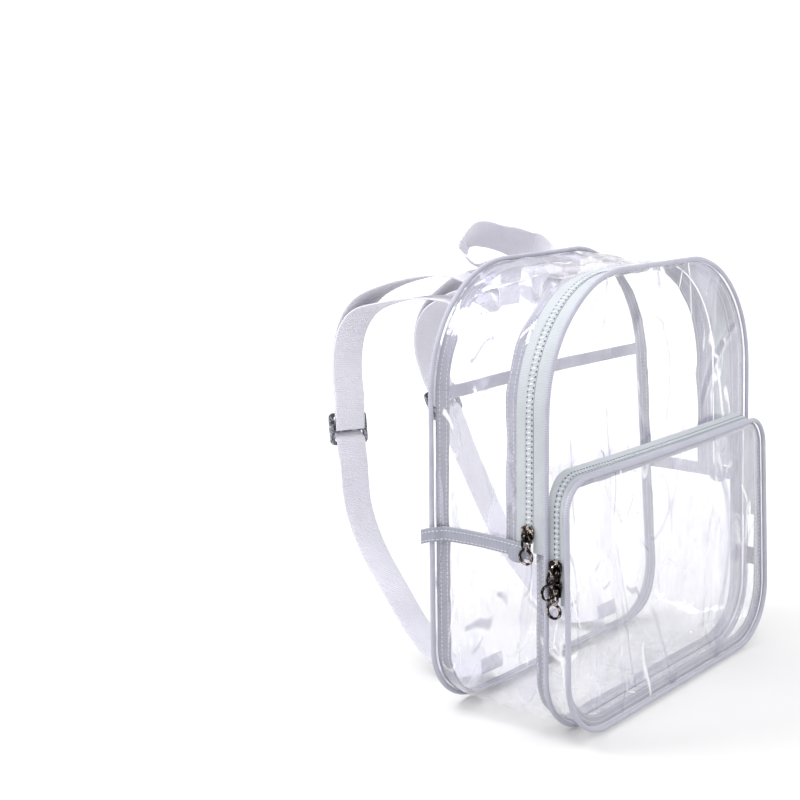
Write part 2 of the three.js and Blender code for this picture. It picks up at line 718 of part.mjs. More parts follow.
// Half circle of webbing round a bar, from above it, past its near side, to below it
function turnRound(centre, radius, count) {
  return Array.from({ length: count + 1 }, (_, k) => {
    const angle = Math.PI / 2 + (k / count) * Math.PI;
    return {
      at: centre.clone().add(new THREE.Vector3(0, radius * Math.cos(angle), radius * Math.sin(angle))),
      wide: new THREE.Vector3(1, 0, 0),
    };
  });
}

// One strap: foot on the back panel, lower run, woven through the adjuster, outer layer to the ring,
// round the ring's low bar, and an inner layer back to the adjuster's middle bar.
function addStrap(key) {
  const side = sides[key];
  const route = routeOf(key);
  const frame = adjusterFrame(key);
  const foot = strapRows[0];
  const footX = side * foot[`${key}Side`] * (body.width / 2);
  const footTurn = foot.rise * ringLevel + 2 * webbing.thick;
  const weave = adjuster.thick / 2 + gap + webbing.thick / 2 + strapWeave.ease;
  const [inner, edge] = [adjuster.bar / 2, adjuster.bar / 2 + adjuster.slot];
  const outer = edge + adjuster.frame;
  const clearRun = outer + strap.clearRun;
  const local = (up, out) => ({
    at: frame.centre.clone().addScaledVector(frame.up, up).addScaledVector(frame.out, out),
    wide: frame.across,
  });
  const woven = [
    [-outer - strapWeave.lead, -weave],
    [-edge - strapWeave.edge, -weave],
    [-inner, weave],
    [inner, weave],
    [edge + strapWeave.edge, -weave],
    [outer + strapWeave.lead, -weave],
  ].map(([up, out]) => local(up, out));
  const length = route.getLength();
  const layer = webbing.thick + gap + strapWeave.layerEase;
  const sampled = (from, to, count, offset) =>
    Array.from({ length: count + 1 }, (_, k) => {
      const share = lerp(from, to, k / count);
      const tangent = route.getTangent(share);
      const wide = widthAt(turnAt(share));
      const across = wide.clone().addScaledVector(tangent, -wide.dot(tangent)).normalize();
      const out = across.cross(tangent).negate();
      return { at: route.getPoint(share).addScaledVector(out, offset(k / count)), wide };
    });
  const skip = clearRun / length;
  const { settle } = strapWeave;
  const bottom = sampled(0, frame.share - skip, runSteps.lower, (s) => -weave * s ** settle);
  const upperRun = sampled(frame.share + skip, 1, runSteps.upper, (s) => -weave * (1 - s) ** settle);
  const { low } = ringCentres(side);
  const round = turnRound(low, (ring.bar * Math.SQRT2) / 2 + lay, 6);
  const innerRun = sampled(1, frame.share + skip, runSteps.upper, (s) => -layer - weave * s ** settle);
  // The loop is slack towards the ring, where the inner layer drops away from the outer one
  for (const [k, row] of innerRun.entries()) {
    const open = Math.max(0, 1 - k / (innerRun.length - 1) / strap.openShare);
    row.at.z -= strap.openDrop * open ** strap.openCurve;
  }
  const last = [
    local(outer + strapWeave.lead, -weave - layer),
    local(edge + strapWeave.edge, -weave - layer),
    local(-inner / 2, -weave),
  ];
  const rows = [
    flatRow(footX, lay, footTurn + strap.tailLength),
    flatRow(footX, lay, footTurn),
    ...bottom,
    ...woven,
    ...upperRun,
    ...round,
    ...innerRun,
    ...last,
  ];
  addPiece(`${key}_strap`, ribbonGeometry(rows), "webbing");
}

// A flat frame placed with its x across, y up and z out
function placedPlate(geometry, centre, across, up) {
  const out = across.clone().cross(up).normalize();
  const matrix = new THREE.Matrix4().makeBasis(across, up, out).setPosition(centre);
  return geometry.applyMatrix4(matrix);
}

function addAdjuster(key) {
  const frame = adjusterFrame(key);
  const height = 2 * (adjuster.frame + adjuster.slot) + adjuster.bar;
  const shape = roundedRect(new THREE.Shape(), adjuster.width, height, adjuster.corner);
  const slotWidth = adjuster.width - 2 * adjuster.frame;
  const slotY = (adjuster.bar + adjuster.slot) / 2;
  for (const y of [-slotY, slotY]) {
    shape.holes.push(roundedRect(new THREE.Path(), slotWidth, adjuster.slot, adjuster.slotCorner, 0, y));
  }
  const geometry = placedPlate(plate(shape, adjuster.thick, 3), frame.centre, frame.across, frame.up);
  addPiece(`${key}_adjuster`, geometry, "buckle");
}

function addRing(key) {
  const side = sides[key];
  const { top, low } = ringCentres(side);
  const shape = roundedRect(new THREE.Shape(), ring.width, ring.height, ring.corner);
  const inside = { width: ring.width - 2 * ring.bar, height: ring.height - 2 * ring.bar };
  shape.holes.push(roundedRect(new THREE.Path(), inside.width, inside.height, ring.holeCorner));
  const centre = top.clone().lerp(low, 0.5);
  const across = new THREE.Vector3(1, 0, 0);
  const geometry = placedPlate(plate(shape, ring.thick, 3), centre, across, ringLean.clone().negate());
  addPiece(`${key}_ring`, geometry, "metal");
}

// The tab that holds a ring: up the back panel, over the ring's top bar and back down onto itself
function addRingTab(key) {
  const side = sides[key];
  const x = side * ringTab.side;
  const { top } = ringCentres(side);
  const radius = (ring.bar * Math.SQRT2) / 2 + lay;
  const wide = new THREE.Vector3(1, 0, 0);
  const layer = webbing.thick + gap;
  const round = turnRound(top, radius, 6).map((row) => {
    const offset = row.at.clone().sub(top);
    return { at: top.clone().add(new THREE.Vector3(0, -offset.y, offset.z)), wide };
  });
  const rows = [
    flatRow(x, lay, ringLevel - ringTab.foot),
    flatRow(x, lay, ringLevel - ringTab.lead),
    flatRow(x, lay + ringTab.swell, ringLevel + ringTab.over),
    ...round,
    flatRow(x, lay + layer + ringTab.pinch, ringLevel - ringTab.close),
    flatRow(x, lay + layer, ringLevel - ringTab.foot),
  ];
  addPiece(`${key}_ring_tab`, ribbonGeometry(rows), "webbing");
}

// The handle: side is a share of half its spread, back of its reach behind the panel and rise of its
// height above the bag. The webbing leaves the seam flat, stands on edge in its left leg and turns
// its face forward towards the right one.
const handleRows = [
  { side: -1, back: 0.5, rise: -0.5, wide: [-0.93, -0.07, 0.35] },
  { side: -1, back: 0.93, rise: 0, wide: [-0.81, -0.35, 0.47] },
  { side: -0.91, back: 0.9, rise: 0.5, wide: [-0.51, -0.46, 0.73] },
  { side: -0.56, back: 0.93, rise: 0.66, wide: [-0.09, -0.61, 0.78] },
  { side: -0.13, back: 0.88, rise: 0.53, wide: [-0.08, -0.81, 0.59] },
  { side: 0.25, back: 0.74, rise: 0.32, wide: [0.05, -0.66, 0.7] },
  { side: 0.63, back: 0.62, rise: 0, wide: [-0.04, -0.6, 0.8] },
  { side: 0.86, back: 0.36, rise: -0.26, wide: [0.75, 0.25, 0.6] },
];

function addHandle() {
  const half = handle.spread / 2;
  const clearOff = pipingReach + lay;
  const seamLevel = bodySeam.high - piping.radius;
  const root = (side) => [
    flatRow(side * half, lay, seamLevel - handle.rootDrop - handle.rootLength),
    flatRow(side * half, lay, seamLevel - handle.rootDrop),
    flatRow(side * half, clearOff, seamLevel),
  ];
  const guide = new THREE.CatmullRomCurve3(
    handleRows.map((row) => {
      const at = behind(row.side * half, clearOff + row.back * handle.back, body.height);
      return at.setZ(at.z + row.rise * handle.rise);
    }),
    false,
    "centripetal",
  );
  const count = 20;
  const arc = Array.from({ length: count + 1 }, (_, k) => {
    const place = (k / count) * (handleRows.length - 1);
    const low = Math.min(handleRows.length - 2, Math.floor(place));
    const from = new THREE.Vector3(...handleRows[low].wide);
    const to = new THREE.Vector3(...handleRows[low + 1].wide);
    return { at: guide.getPoint(k / count), wide: from.lerp(to, place - low) };
  });
  const leftRoot = root(-1).map(({ at, wide }) => ({ at, wide: wide.negate() }));
  addPiece("carry_handle", ribbonGeometry([...leftRoot, ...arc, ...root(1).reverse()]), "webbing");
}

addMainBody();
addMainZip();
addSideBand("side_band_left", -1);
addSideBand("side_band_right", 1);
addCrossBand();
addPocket();
addSideTab();
addSliders();
for (const key of Object.keys(sides)) {
  addRingTab(key);
  addRing(key);
  addAdjuster(key);
  addStrap(key);
}
addHandle();

export default backpack;
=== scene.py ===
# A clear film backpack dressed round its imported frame: film, piping, bound seams, zips, webbing and metal.
# Shapes are worked out in millimetres, as the frame was, and go into Blender in metres.
import math
import bpy
import bmesh
import numpy as np
from mathutils import Matrix, Vector


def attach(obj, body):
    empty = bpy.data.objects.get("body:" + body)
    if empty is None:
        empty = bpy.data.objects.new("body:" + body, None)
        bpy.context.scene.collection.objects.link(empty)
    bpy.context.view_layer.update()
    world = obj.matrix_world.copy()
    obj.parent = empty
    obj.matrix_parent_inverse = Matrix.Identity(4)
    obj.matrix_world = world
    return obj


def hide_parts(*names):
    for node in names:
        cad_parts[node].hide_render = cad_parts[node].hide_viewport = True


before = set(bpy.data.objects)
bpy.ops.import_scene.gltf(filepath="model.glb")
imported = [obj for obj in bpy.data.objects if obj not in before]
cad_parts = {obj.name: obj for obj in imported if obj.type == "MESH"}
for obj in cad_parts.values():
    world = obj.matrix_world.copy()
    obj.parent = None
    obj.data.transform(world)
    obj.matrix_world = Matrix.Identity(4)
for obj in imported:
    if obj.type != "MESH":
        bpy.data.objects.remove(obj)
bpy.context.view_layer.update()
print("frame loaded:", len(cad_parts), "nodes")

mm = 0.001
gap = 0.3
layGap = 0.6
seamEase = 0.05
body = {"width": 267, "height": 305, "depth": 96, "topCorner": 88, "baseCorner": 46, "zipEnd": 127}
pocket = {"height": 178, "depth": 17.5, "topCorner": 23, "zipEnd": 96}
pipingRadius = 1.8
filmCut = 1.0  # what the frame gives a skin
tapeCut = 1.0
stance = {
    "baseSpread": 13, "frontDrop": 5, "backTwist": 7, "backBulge": 6, "frontBulge": 3,
    "pocketBulge": 2, "pocketTaper": 4, "pocketPuff": 6, "sideDip": 2, "topDip": 3, "baseRounding": 0.31,
}

pipingSeat = (pipingRadius + gap) / math.sqrt(2)
pipingReach = pipingSeat + pipingRadius
seamDepth = body["depth"] - 2 * pipingReach
backPlane = seamDepth / 2
frontPlane = -seamDepth / 2
pocketPlane = frontPlane - pocket["depth"]
pocketInset = pipingRadius - pipingSeat + gap + seamEase
filmEdge = filmCut + gap


# How the soft bag stands
def stand(x, y, z):
    x, y, z = np.broadcast_arrays(np.asarray(x, float), np.asarray(y, float), np.asarray(z, float))
    rise = z / body["height"]
    pocketRise = np.clip(z / pocket["height"], 0, 1)
    back = np.clip((y - frontPlane) / seamDepth, 0, 1)
    forward = np.clip((frontPlane - y) / pocket["depth"], 0, 1)
    across = np.maximum(0, 1 - (2 * x / body["width"]) ** 2)
    belly = across * np.maximum(0, 4 * rise * (1 - rise))
    pocketBelly = across * 4 * pocketRise * (1 - pocketRise)
    twist = stance["backTwist"] * np.clip(x / body["width"] + 0.5, 0, 1) * (2 * rise - 1)
    return np.stack([
        x * (1 + stance["baseSpread"] / body["width"] * (1 - rise)),
        y + back * (stance["backBulge"] * belly + twist) - (1 - back) * stance["frontBulge"] * belly
        - forward * (stance["pocketBulge"] * pocketBelly - stance["pocketTaper"] * pocketRise),
        z * (1 - stance["frontDrop"] / body["height"] * (1 - back)),
    ], -1)


def straight(x0, z0, x1, z1, dx, dz, step):
    n = max(2, round(math.hypot(x1 - x0, z1 - z0) / step))
    t = np.linspace(0, 1, n, endpoint=False)
    return np.stack([x0 + (x1 - x0) * t, z0 + (z1 - z0) * t, 0 * t, dx + 0 * t, dz + 0 * t], 1)


def corner(x, z, radius, start, step):
    n = max(4, round(radius * math.pi / 2 / step))
    a = start - np.linspace(0, math.pi / 2, n, endpoint=False)
    return np.stack([x + 0 * a, z + 0 * a, radius + 0 * a, np.cos(a), np.sin(a)], 1)


# Stations x, z, radius, dx, dz round a seam: an upper arch and a lower U
def outlineOf(seam, step):
    half, low, high, split = (seam[k] for k in ("half", "low", "high", "split"))
    topR, baseR = seam["topCorner"], seam["baseCorner"]
    tz, bz, tx, bx = high - topR, low + baseR, half - topR, half - baseR
    upper = np.concatenate([
        straight(-half, split, -half, tz, -1, 0, step), corner(-tx, tz, topR, math.pi, step),
        straight(-tx, high, tx, high, 0, 1, step), corner(tx, tz, topR, math.pi / 2, step),
        straight(half, tz, half, split, 1, 0, step), [[half, split, 0, 1, 0]],
    ])
    lower = np.concatenate([
        straight(half, split - gap, half, bz, 1, 0, step), corner(bx, bz, baseR, 0, step),
        straight(bx, low, -bx, low, 0, -1, step), corner(-bx, bz, baseR, -math.pi / 2, step),
        straight(-half, bz, -half, split - gap, -1, 0, step), [[-half, split - gap, 0, -1, 0]],
    ])
    return {"upper": upper, "lower": lower, "loop": np.concatenate([upper, lower[1:-1]])}


bodySeam = {
    "half": body["width"] / 2 - pipingReach, "low": pipingReach, "high": body["height"] - pipingReach,
    "topCorner": body["topCorner"] - pipingReach, "baseCorner": body["baseCorner"] - pipingReach,
    "split": body["zipEnd"],
}
pocketSeam = {
    "half": bodySeam["half"] - pocketInset, "low": bodySeam["low"] + pocketInset,
    "high": pocket["height"] - pipingReach, "topCorner": pocket["topCorner"] - pipingReach,
    "baseCorner": bodySeam["baseCorner"] - pocketInset, "split": pocket["zipEnd"],
}
stationStep = 2.4
bodyLine = outlineOf(bodySeam, stationStep)
pocketLine = outlineOf(pocketSeam, stationStep)


def rim(st, out, y):
    reach = st[..., 2] + out
    return stand(st[..., 0] + reach * st[..., 3], y, st[..., 1] + reach * st[..., 4])


def slack(st, depth):
    share = np.clip(depth / seamDepth, 0, 1)
    wave = np.sin(math.pi * share)
    plateau = np.minimum(1, np.minimum(share, 1 - share) / stance["baseRounding"])
    base = np.maximum(0, -st[..., 4]) ** 2
    top = np.maximum(0, st[..., 4]) ** 2
    dip = (1 - base - top) * stance["sideDip"] + top * stance["topDip"]
    return base * pipingReach * plateau - dip * wave


def onGusset(st, depth, out):
    return rim(st, out + slack(st, depth), frontPlane + depth)


# The pocket's zip puffs up along its top, where it leaves the front panel
def onPocketGusset(st, depth, out):
    back = (1 - np.clip(depth / pocket["depth"], 0, 1)) ** 0.8
    puff = stance["pocketPuff"] * np.clip(st[..., 4], 0, 1) ** 2 * back
    return rim(st, out + puff, frontPlane - depth)


# Noise and creases, all seeded
def softNoise(u, v, size, seed):
    rng = np.random.default_rng(seed)
    lattice = rng.uniform(-1, 1, (64, 64))
    u, v = np.asarray(u, float) / size + 7.3, np.asarray(v, float) / size + 11.9
    iu, iv = np.floor(u).astype(int), np.floor(v).astype(int)
    fu, fv = u - iu, v - iv
    su, sv = (f * f * f * (f * (f * 6 - 15) + 10) for f in (fu, fv))
    at = lambda a, b: lattice[a % 64, b % 64]
    low = at(iu, iv) * (1 - su) + at(iu + 1, iv) * su
    high = at(iu, iv + 1) * (1 - su) + at(iu + 1, iv + 1) * su
    return low * (1 - sv) + high * sv


# Sharp folds of thin film: ridges of warped noise, each layer turned its own way
def crumple(u, v, size, turn, stretch, seed):
    c, s = math.cos(turn), math.sin(turn)
    a, b = c * u + s * v, -s * u + c * v
    a = a + 0.55 * size * softNoise(a, b, size * 1.7, seed + 1)
    b = b + 0.55 * size * softNoise(a, b, size * 1.3, seed + 2)
    return (1 - np.abs(softNoise(a, b / stretch, size, seed))) ** 3


# A crease along a line, with a soft cross-section that dies away at its ends
def crease(u, v, start, end, width, height, bend=0.0):
    du, dv = end[0] - start[0], end[1] - start[1]
    length = math.hypot(du, dv)
    tu, tv = du / length, dv / length
    along = ((u - start[0]) * tu + (v - start[1]) * tv) / length
    off = -(u - start[0]) * tv + (v - start[1]) * tu - bend * length * 4 * along * (1 - along)
    fade = np.clip(4 * along * (1 - along), 0, 1) ** 0.6
    return height * fade * (np.exp(-(off / width) ** 2) - 0.45 * np.exp(-((off - 1.7 * width) / width) ** 2))


# Meshes from rows of points
def pieceOf(name, vertices, faces, uvs=None, material=None, angle=40):
    mesh = bpy.data.meshes.new(name)
    mesh.from_pydata((np.asarray(vertices) * mm).tolist(), [], faces)
    if uvs is not None:
        layer = mesh.uv_layers.new(name="Cloth")
        layer.data.foreach_set("uv", (np.asarray(uvs, float) * mm).ravel())
    mesh.validate()
    mesh.update()
    for polygon in mesh.polygons:
        polygon.use_smooth = True
    mesh.set_sharp_from_angle(angle=math.radians(angle))
    piece = bpy.data.objects.new(name, mesh)
    bpy.context.scene.collection.objects.link(piece)
    if material:
        mesh.materials.append(material)
    return piece


def signedVolume(vertices, faces):
    quads = np.array([f if len(f) == 4 else (*f, f[-1]) for f in faces])
    p = [vertices[quads[:, k]] for k in range(4)]
    return sum(np.einsum("ij,ij->", p[0], np.cross(p[k], p[k + 1])) for k in (1, 2)) / 6


# points[i, j]: i goes along, j round a closed section. across[j] is the cloth's own cross coordinate.
def tube(name, points, material, closed=False, across=None, along=None, angle=40):
    n, m = points.shape[:2]
    flat = points.reshape(-1, 3)
    steps = np.linalg.norm(np.diff(points, axis=0, append=points[:1]), axis=2).mean(1)
    along = np.concatenate([[0], np.cumsum(steps)]) if along is None else along
    if across is None:
        edge = np.linalg.norm(np.roll(points, -1, axis=1) - points, axis=2).mean(0)
        across = np.concatenate([[0], np.cumsum(edge)])
    rows = n if closed else n - 1
    i, j = np.meshgrid(np.arange(rows), np.arange(m), indexing="ij")
    i, j = i.ravel(), j.ravel()
    i2, j2 = (i + 1) % n, (j + 1) % m
    quads = np.stack([i * m + j, i2 * m + j, i2 * m + j2, i * m + j2], 1)
    uv = np.stack([
        np.stack([across[j], along[i]], 1), np.stack([across[j], along[i + 1]], 1),
        np.stack([across[j + 1], along[i + 1]], 1), np.stack([across[j + 1], along[i]], 1),
    ], 1)
    faces = quads.tolist()
    uvs = uv.reshape(-1, 2).tolist()
    if not closed:
        for row, flip in ((0, False), (n - 1, True)):
            for k in range(m // 2 - 1):
                cap = [row * m + q for q in (k, k + 1, m - 2 - k, m - 1 - k)]
                cap = cap[::-1] if flip else cap
                faces.append(cap)
                uvs += [[across[q % m], along[row]] for q in cap]
    if signedVolume(flat, faces) < 0:
        faces = [f[::-1] for f in faces]
        at, turned = 0, []
        for f in faces:
            turned += uvs[at:at + len(f)][::-1]
            at += len(f)
        uvs = turned
    return pieceOf(name, flat, faces, uvs, material, angle)


# A thin skin: place(i, share across, height) over rows of stations, closed at its edges
def skin(name, stations, cols, place, thick, material, angle=60):
    t = np.linspace(0, 1, cols)
    top, low = place(stations, t, 0.0), place(stations, t, -thick)
    points = np.concatenate([top, low[:, ::-1]], 1)
    width = np.linalg.norm(np.diff(top, axis=1), axis=2).mean(0)
    u = np.concatenate([[0], np.cumsum(width)])
    across = np.concatenate([u, u[::-1], [u[0]]])
    return tube(name, points, material, across=across, angle=angle)


def alongArc(points):
    return np.concatenate([[0], np.cumsum(np.linalg.norm(np.diff(points, axis=0), axis=1))])


# Materials
def linear(*rgb):
    share = [v / 255 for v in rgb]
    return tuple(c / 12.92 if c <= 0.04045 else ((c + 0.055) / 1.055) ** 2.4 for c in share) + (1.0,)


class Recipe:
    def __init__(self, name):
        self.material = bpy.data.materials.new(name)
        self.material.use_nodes = True
        self.tree = self.material.node_tree
        self.tree.nodes.clear()
        self.out = self.add("ShaderNodeOutputMaterial")

    def add(self, kind, inputs=None, **settings):
        node = self.tree.nodes.new(kind)
        for key, value in settings.items():
            setattr(node, key, value)
        for key, value in (inputs or {}).items():
            self.put(node.inputs[key], value)
        return node

    def put(self, socket, value):
        if isinstance(value, bpy.types.NodeSocket):
            self.tree.links.new(value, socket)
        else:
            socket.default_value = value

    def math(self, operation, *values):
        node = self.add("ShaderNodeMath", operation=operation)
        for k, value in enumerate(values):
            self.put(node.inputs[k], value)
        return node.outputs[0]

    def ramp(self, source, low, high, toLow=0.0, toHigh=1.0):
        node = self.add("ShaderNodeMapRange", {0: source, 1: low, 2: high, 3: toLow, 4: toHigh})
        return node.outputs[0]

    def blend(self, factor, a, b, blend="MIX"):
        node = self.add("ShaderNodeMix", data_type="RGBA", blend_type=blend)
        self.put(node.inputs[0], factor)
        self.put(node.inputs[6], a)
        self.put(node.inputs[7], b)
        return node.outputs[2]

    def noise(self, vector, scale, detail=2.0, rough=0.5, distortion=0.0):
        return self.add("ShaderNodeTexNoise", {
            "Vector": vector, "Scale": scale, "Detail": detail, "Roughness": rough, "Distortion": distortion,
        }).outputs[0]

    def bump(self, height, distance, strength=1.0, normal=None):
        node = self.add("ShaderNodeBump", {"Height": height, "Distance": distance, "Strength": strength})
        if normal is not None:
            self.put(node.inputs["Normal"], normal)
        return node.outputs[0]

    def place(self):
        return self.add("ShaderNodeTexCoord").outputs["Object"]

    def cloth(self):
        split = self.add("ShaderNodeSeparateXYZ", {0: self.add("ShaderNodeUVMap", uv_map="Cloth").outputs[0]})
        return split.outputs[0], split.outputs[1]

    def finish(self, shader):
        self.tree.links.new(shader, self.out.inputs["Surface"])
        return self.material


# Clear vinyl: seen through, glossy at a slant, with milky lavender patches that are partly the vinyl's own haze
# and partly painted shade, grey creases of painted shade and white glints of painted highlight
filmLook = {
    "tint": (0.996, 0.996, 0.998, 1), "gloss": 0.035, "rough": 0.05, "hazeShade": linear(214, 212, 230),
    "crease": linear(150, 150, 170), "glint": linear(255, 255, 255),
    "patch": 0.3, "creaseShadeCover": 0.5, "glintCover": 0.8,
}


# Each line's noise scale, width, seed and how much of it is kept; the creases are lines of painted shade, the
# glints lines of painted highlight
filmLines = {
    "creases": [(15, 0.008, 0.4, 0.52), (27, 0.01, 1.7, 0.55)],
    "glints": [(15, 0.01, 0.404, 0.54), (34, 0.014, 2.9, 0.56)],
}


# A thin line wherever a warped noise passes its middle value, broken up by a second noise
def hairline(r, place, scale, width, seed, keepAbove):
    offset = (seed, 2 * seed, 3 * seed)
    shifted = r.add("ShaderNodeVectorMath", {0: place, 1: offset}, operation="ADD").outputs[0]
    level = r.noise(shifted, scale, 0.3, 0.4, 0.12)
    near = r.math("ABSOLUTE", r.math("SUBTRACT", level, 0.5))
    line = r.ramp(near, width, width * 0.3)
    return r.math("MULTIPLY", line, r.ramp(r.noise(shifted, scale * 1.7, 2), keepAbove, keepAbove + 0.06))


def vinylFilm():
    r = Recipe("clear vinyl")
    foldShading = r.add("ShaderNodeAttribute", attribute_name="foldShading").outputs["Fac"]
    place = r.add("ShaderNodeMapping", {
        "Vector": r.place(), "Rotation": (0.25, 0.1, 0.0), "Scale": (1, 1, 0.36),
    }).outputs[0]
    broad = r.noise(place, 34, 3, 0.55, 0.6)
    fine = r.noise(place, 170, 3, 0.6)
    normal = r.bump(broad, 0.002, 0.6)
    normal = r.bump(fine, 0.0003, 0.6, normal)
    facing = r.add("ShaderNodeLayerWeight", {"Blend": 0.5, "Normal": normal}).outputs["Facing"]
    slant = r.math("POWER", facing, 5)
    fresnel = r.math("ADD", r.math("MULTIPLY", slant, 1 - filmLook["gloss"]), filmLook["gloss"])
    cloud = r.noise(place, 20, 3, 0.55, 1.0)
    soft = r.ramp(r.noise(place, 11, 3, 0.5, 0.3), 0.35, 0.7, 0, 0.5)
    patch = r.math("MAXIMUM", r.math("MULTIPLY", r.ramp(cloud, 0.52, 0.55), r.ramp(broad, 0.35, 0.6)), soft)
    hazeAndShade = r.math("MULTIPLY", r.math("MULTIPLY", patch, foldShading), filmLook["patch"])
    creases = r.math("MAXIMUM", *(hairline(r, place, *line) for line in filmLines["creases"]))
    creases = r.math("MULTIPLY", r.math("MULTIPLY", creases, foldShading), filmLook["creaseShadeCover"])
    glints = r.math("MAXIMUM", *(hairline(r, place, *line) for line in filmLines["glints"]))
    glints = r.math("MULTIPLY", r.math("MULTIPLY", glints, foldShading), filmLook["glintCover"])
    rough = r.ramp(fine, 0.3, 0.8, filmLook["rough"], 2.2 * filmLook["rough"])
    # Painted over the see-through film: lavender haze that is partly painted shade, grey painted shade along the
    # creases and white painted highlights for the glints
    look = r.add("ShaderNodeBsdfTransparent", {"Color": filmLook["tint"]}).outputs[0]
    for cover, colour in ((hazeAndShade, "hazeShade"), (creases, "crease"), (glints, "glint")):
        layer = r.add("ShaderNodeBsdfPrincipled", {
            "Base Color": filmLook[colour], "Roughness": 0.5, "Normal": normal,
        })
        look = r.add("ShaderNodeMixShader", {0: cover, 1: look, 2: layer.outputs[0]}).outputs[0]
    gloss = r.add("ShaderNodeBsdfGlossy", {"Color": (1, 1, 1, 1), "Roughness": rough, "Normal": normal})
    return r.finish(r.add("ShaderNodeMixShader", {0: fresnel, 1: look, 2: gloss.outputs[0]}).outputs[0])


# Woven cloth on its own coordinates: ribs across the run, picked out by warp columns; the rib valleys take the
# shaded colour as painted shade, and random mottled patches take it too
def wovenCloth(name, light, shade, rib, column, depth, sheen=0.3, rough=0.78):
    r = Recipe(name)
    across, along = r.cloth()
    ribs = r.math("SINE", r.math("MULTIPLY", along, 2 * math.pi / rib))
    offset = r.math("MULTIPLY", r.math("SINE", r.math("MULTIPLY", across, 2 * math.pi / column)), math.pi / 2)
    weave = r.math("SINE", r.math("ADD", r.math("MULTIPLY", along, 2 * math.pi / rib), offset))
    columns = r.math("SINE", r.math("MULTIPLY", across, 4 * math.pi / column))
    crossed = r.math("ADD", r.math("MULTIPLY", weave, 0.45), r.math("MULTIPLY", columns, 0.2))
    height = r.math("ADD", r.math("MULTIPLY", ribs, 0.35), crossed)
    place = r.place()
    fuzz = r.noise(place, 900, 2, 0.6)
    mottle = r.noise(place, 60, 3, 0.5)
    height = r.math("ADD", height, r.math("MULTIPLY", fuzz, 0.5))
    # Painted shade in the weave: low points of the ribs take the shaded colour
    colour = r.blend(r.ramp(height, -0.6, 0.9), shade, light)
    colour = r.blend(r.ramp(mottle, 0.35, 0.7, 0, 0.35), colour, shade)
    normal = r.bump(height, depth, 0.8)
    shader = r.add("ShaderNodeBsdfPrincipled", {
        "Base Color": colour, "Roughness": rough, "Normal": normal,
        "Sheen Weight": sheen, "Sheen Roughness": 0.4, "Specular IOR Level": 0.3,
    })
    return r.finish(shader.outputs[0])


# Metal whose colour breaks into light and dark clouds: the light clouds are painted highlights, standing in for
# bright reflections on the dark metal
def metalLook(name, light, dark, rough, glow, wear=0.25):
    r = Recipe(name)
    place = r.place()
    clouds = r.noise(place, 330, 2, 0.5, 1.2)
    scratches = r.noise(place, 900, 2, 0.7, 0.8)
    colour = r.blend(r.ramp(clouds, glow, glow + 0.1), dark, light)
    rougher = r.math("ADD", r.ramp(scratches, 0.3, 0.75, 0, wear * rough * 2), rough)
    shader = r.add("ShaderNodeBsdfPrincipled", {
        "Base Color": colour, "Metallic": 1.0, "Roughness": rougher,
        "Normal": r.bump(scratches, 0.00004, 0.5),
    })
    return r.finish(shader.outputs[0])


def plasticLook(name, light, shade, rough):
    r = Recipe(name)
    place = r.place()
    clouds = r.noise(place, 400, 3, 0.6)
    colour = r.blend(r.ramp(clouds, 0.35, 0.7), light, shade)
    shader = r.add("ShaderNodeBsdfPrincipled", {
        "Base Color": colour, "Roughness": r.ramp(clouds, 0.3, 0.8, rough, rough + 0.15),
        "Normal": r.bump(clouds, 0.00006, 0.5), "Subsurface Weight": 0.15,
        "Subsurface Radius": (0.002, 0.002, 0.003), "Subsurface Scale": 1.0,
    })
    return r.finish(shader.outputs[0])


# Each cloth's colour on the rib tops and its painted shade colour for the rib valleys and mottle, its rib and
# column in millimetres, and its relief in metres
cloths = {
    "webbing": ((222, 221, 229), (202, 201, 210), 1.35, 2.1, 0.00022),
    "piping": ((184, 184, 196), (148, 148, 162), 1.5, 1.0, 0.00012),
    "binding": ((162, 163, 175), (124, 125, 138), 1.2, 1.1, 0.00012),
    "zipTape": ((188, 193, 197), (158, 163, 169), 1.0, 1.3, 0.00012),
    "tab": ((112, 100, 110), (70, 62, 72), 0.9, 0.9, 0.0001),
}
looks = {
    key: wovenCloth(f"{key} cloth", linear(*light), linear(*shade), rib * mm, column * mm, depth)
    for key, (light, shade, rib, column, depth) in cloths.items()
}
looks["film"] = vinylFilm()
looks["coil"] = plasticLook("zip coil", linear(206, 211, 216), linear(178, 184, 192), 0.4)
looks["coilGap"] = plasticLook("zip coil shadow", linear(86, 90, 104), linear(52, 56, 68), 0.7)
looks["thread"] = plasticLook("sewing thread", linear(226, 226, 234), linear(198, 198, 210), 0.6)
# Each metal's painted-highlight colour, its dark colour, its roughness and where the painted highlights begin
looks["chrome"] = metalLook("dark chrome", linear(176, 164, 156), linear(34, 28, 27), 0.1, 0.53)
looks["satin"] = metalLook("satin zinc", linear(158, 160, 166), linear(84, 87, 96), 0.24, 0.46)
print("materials ready:", len(looks))


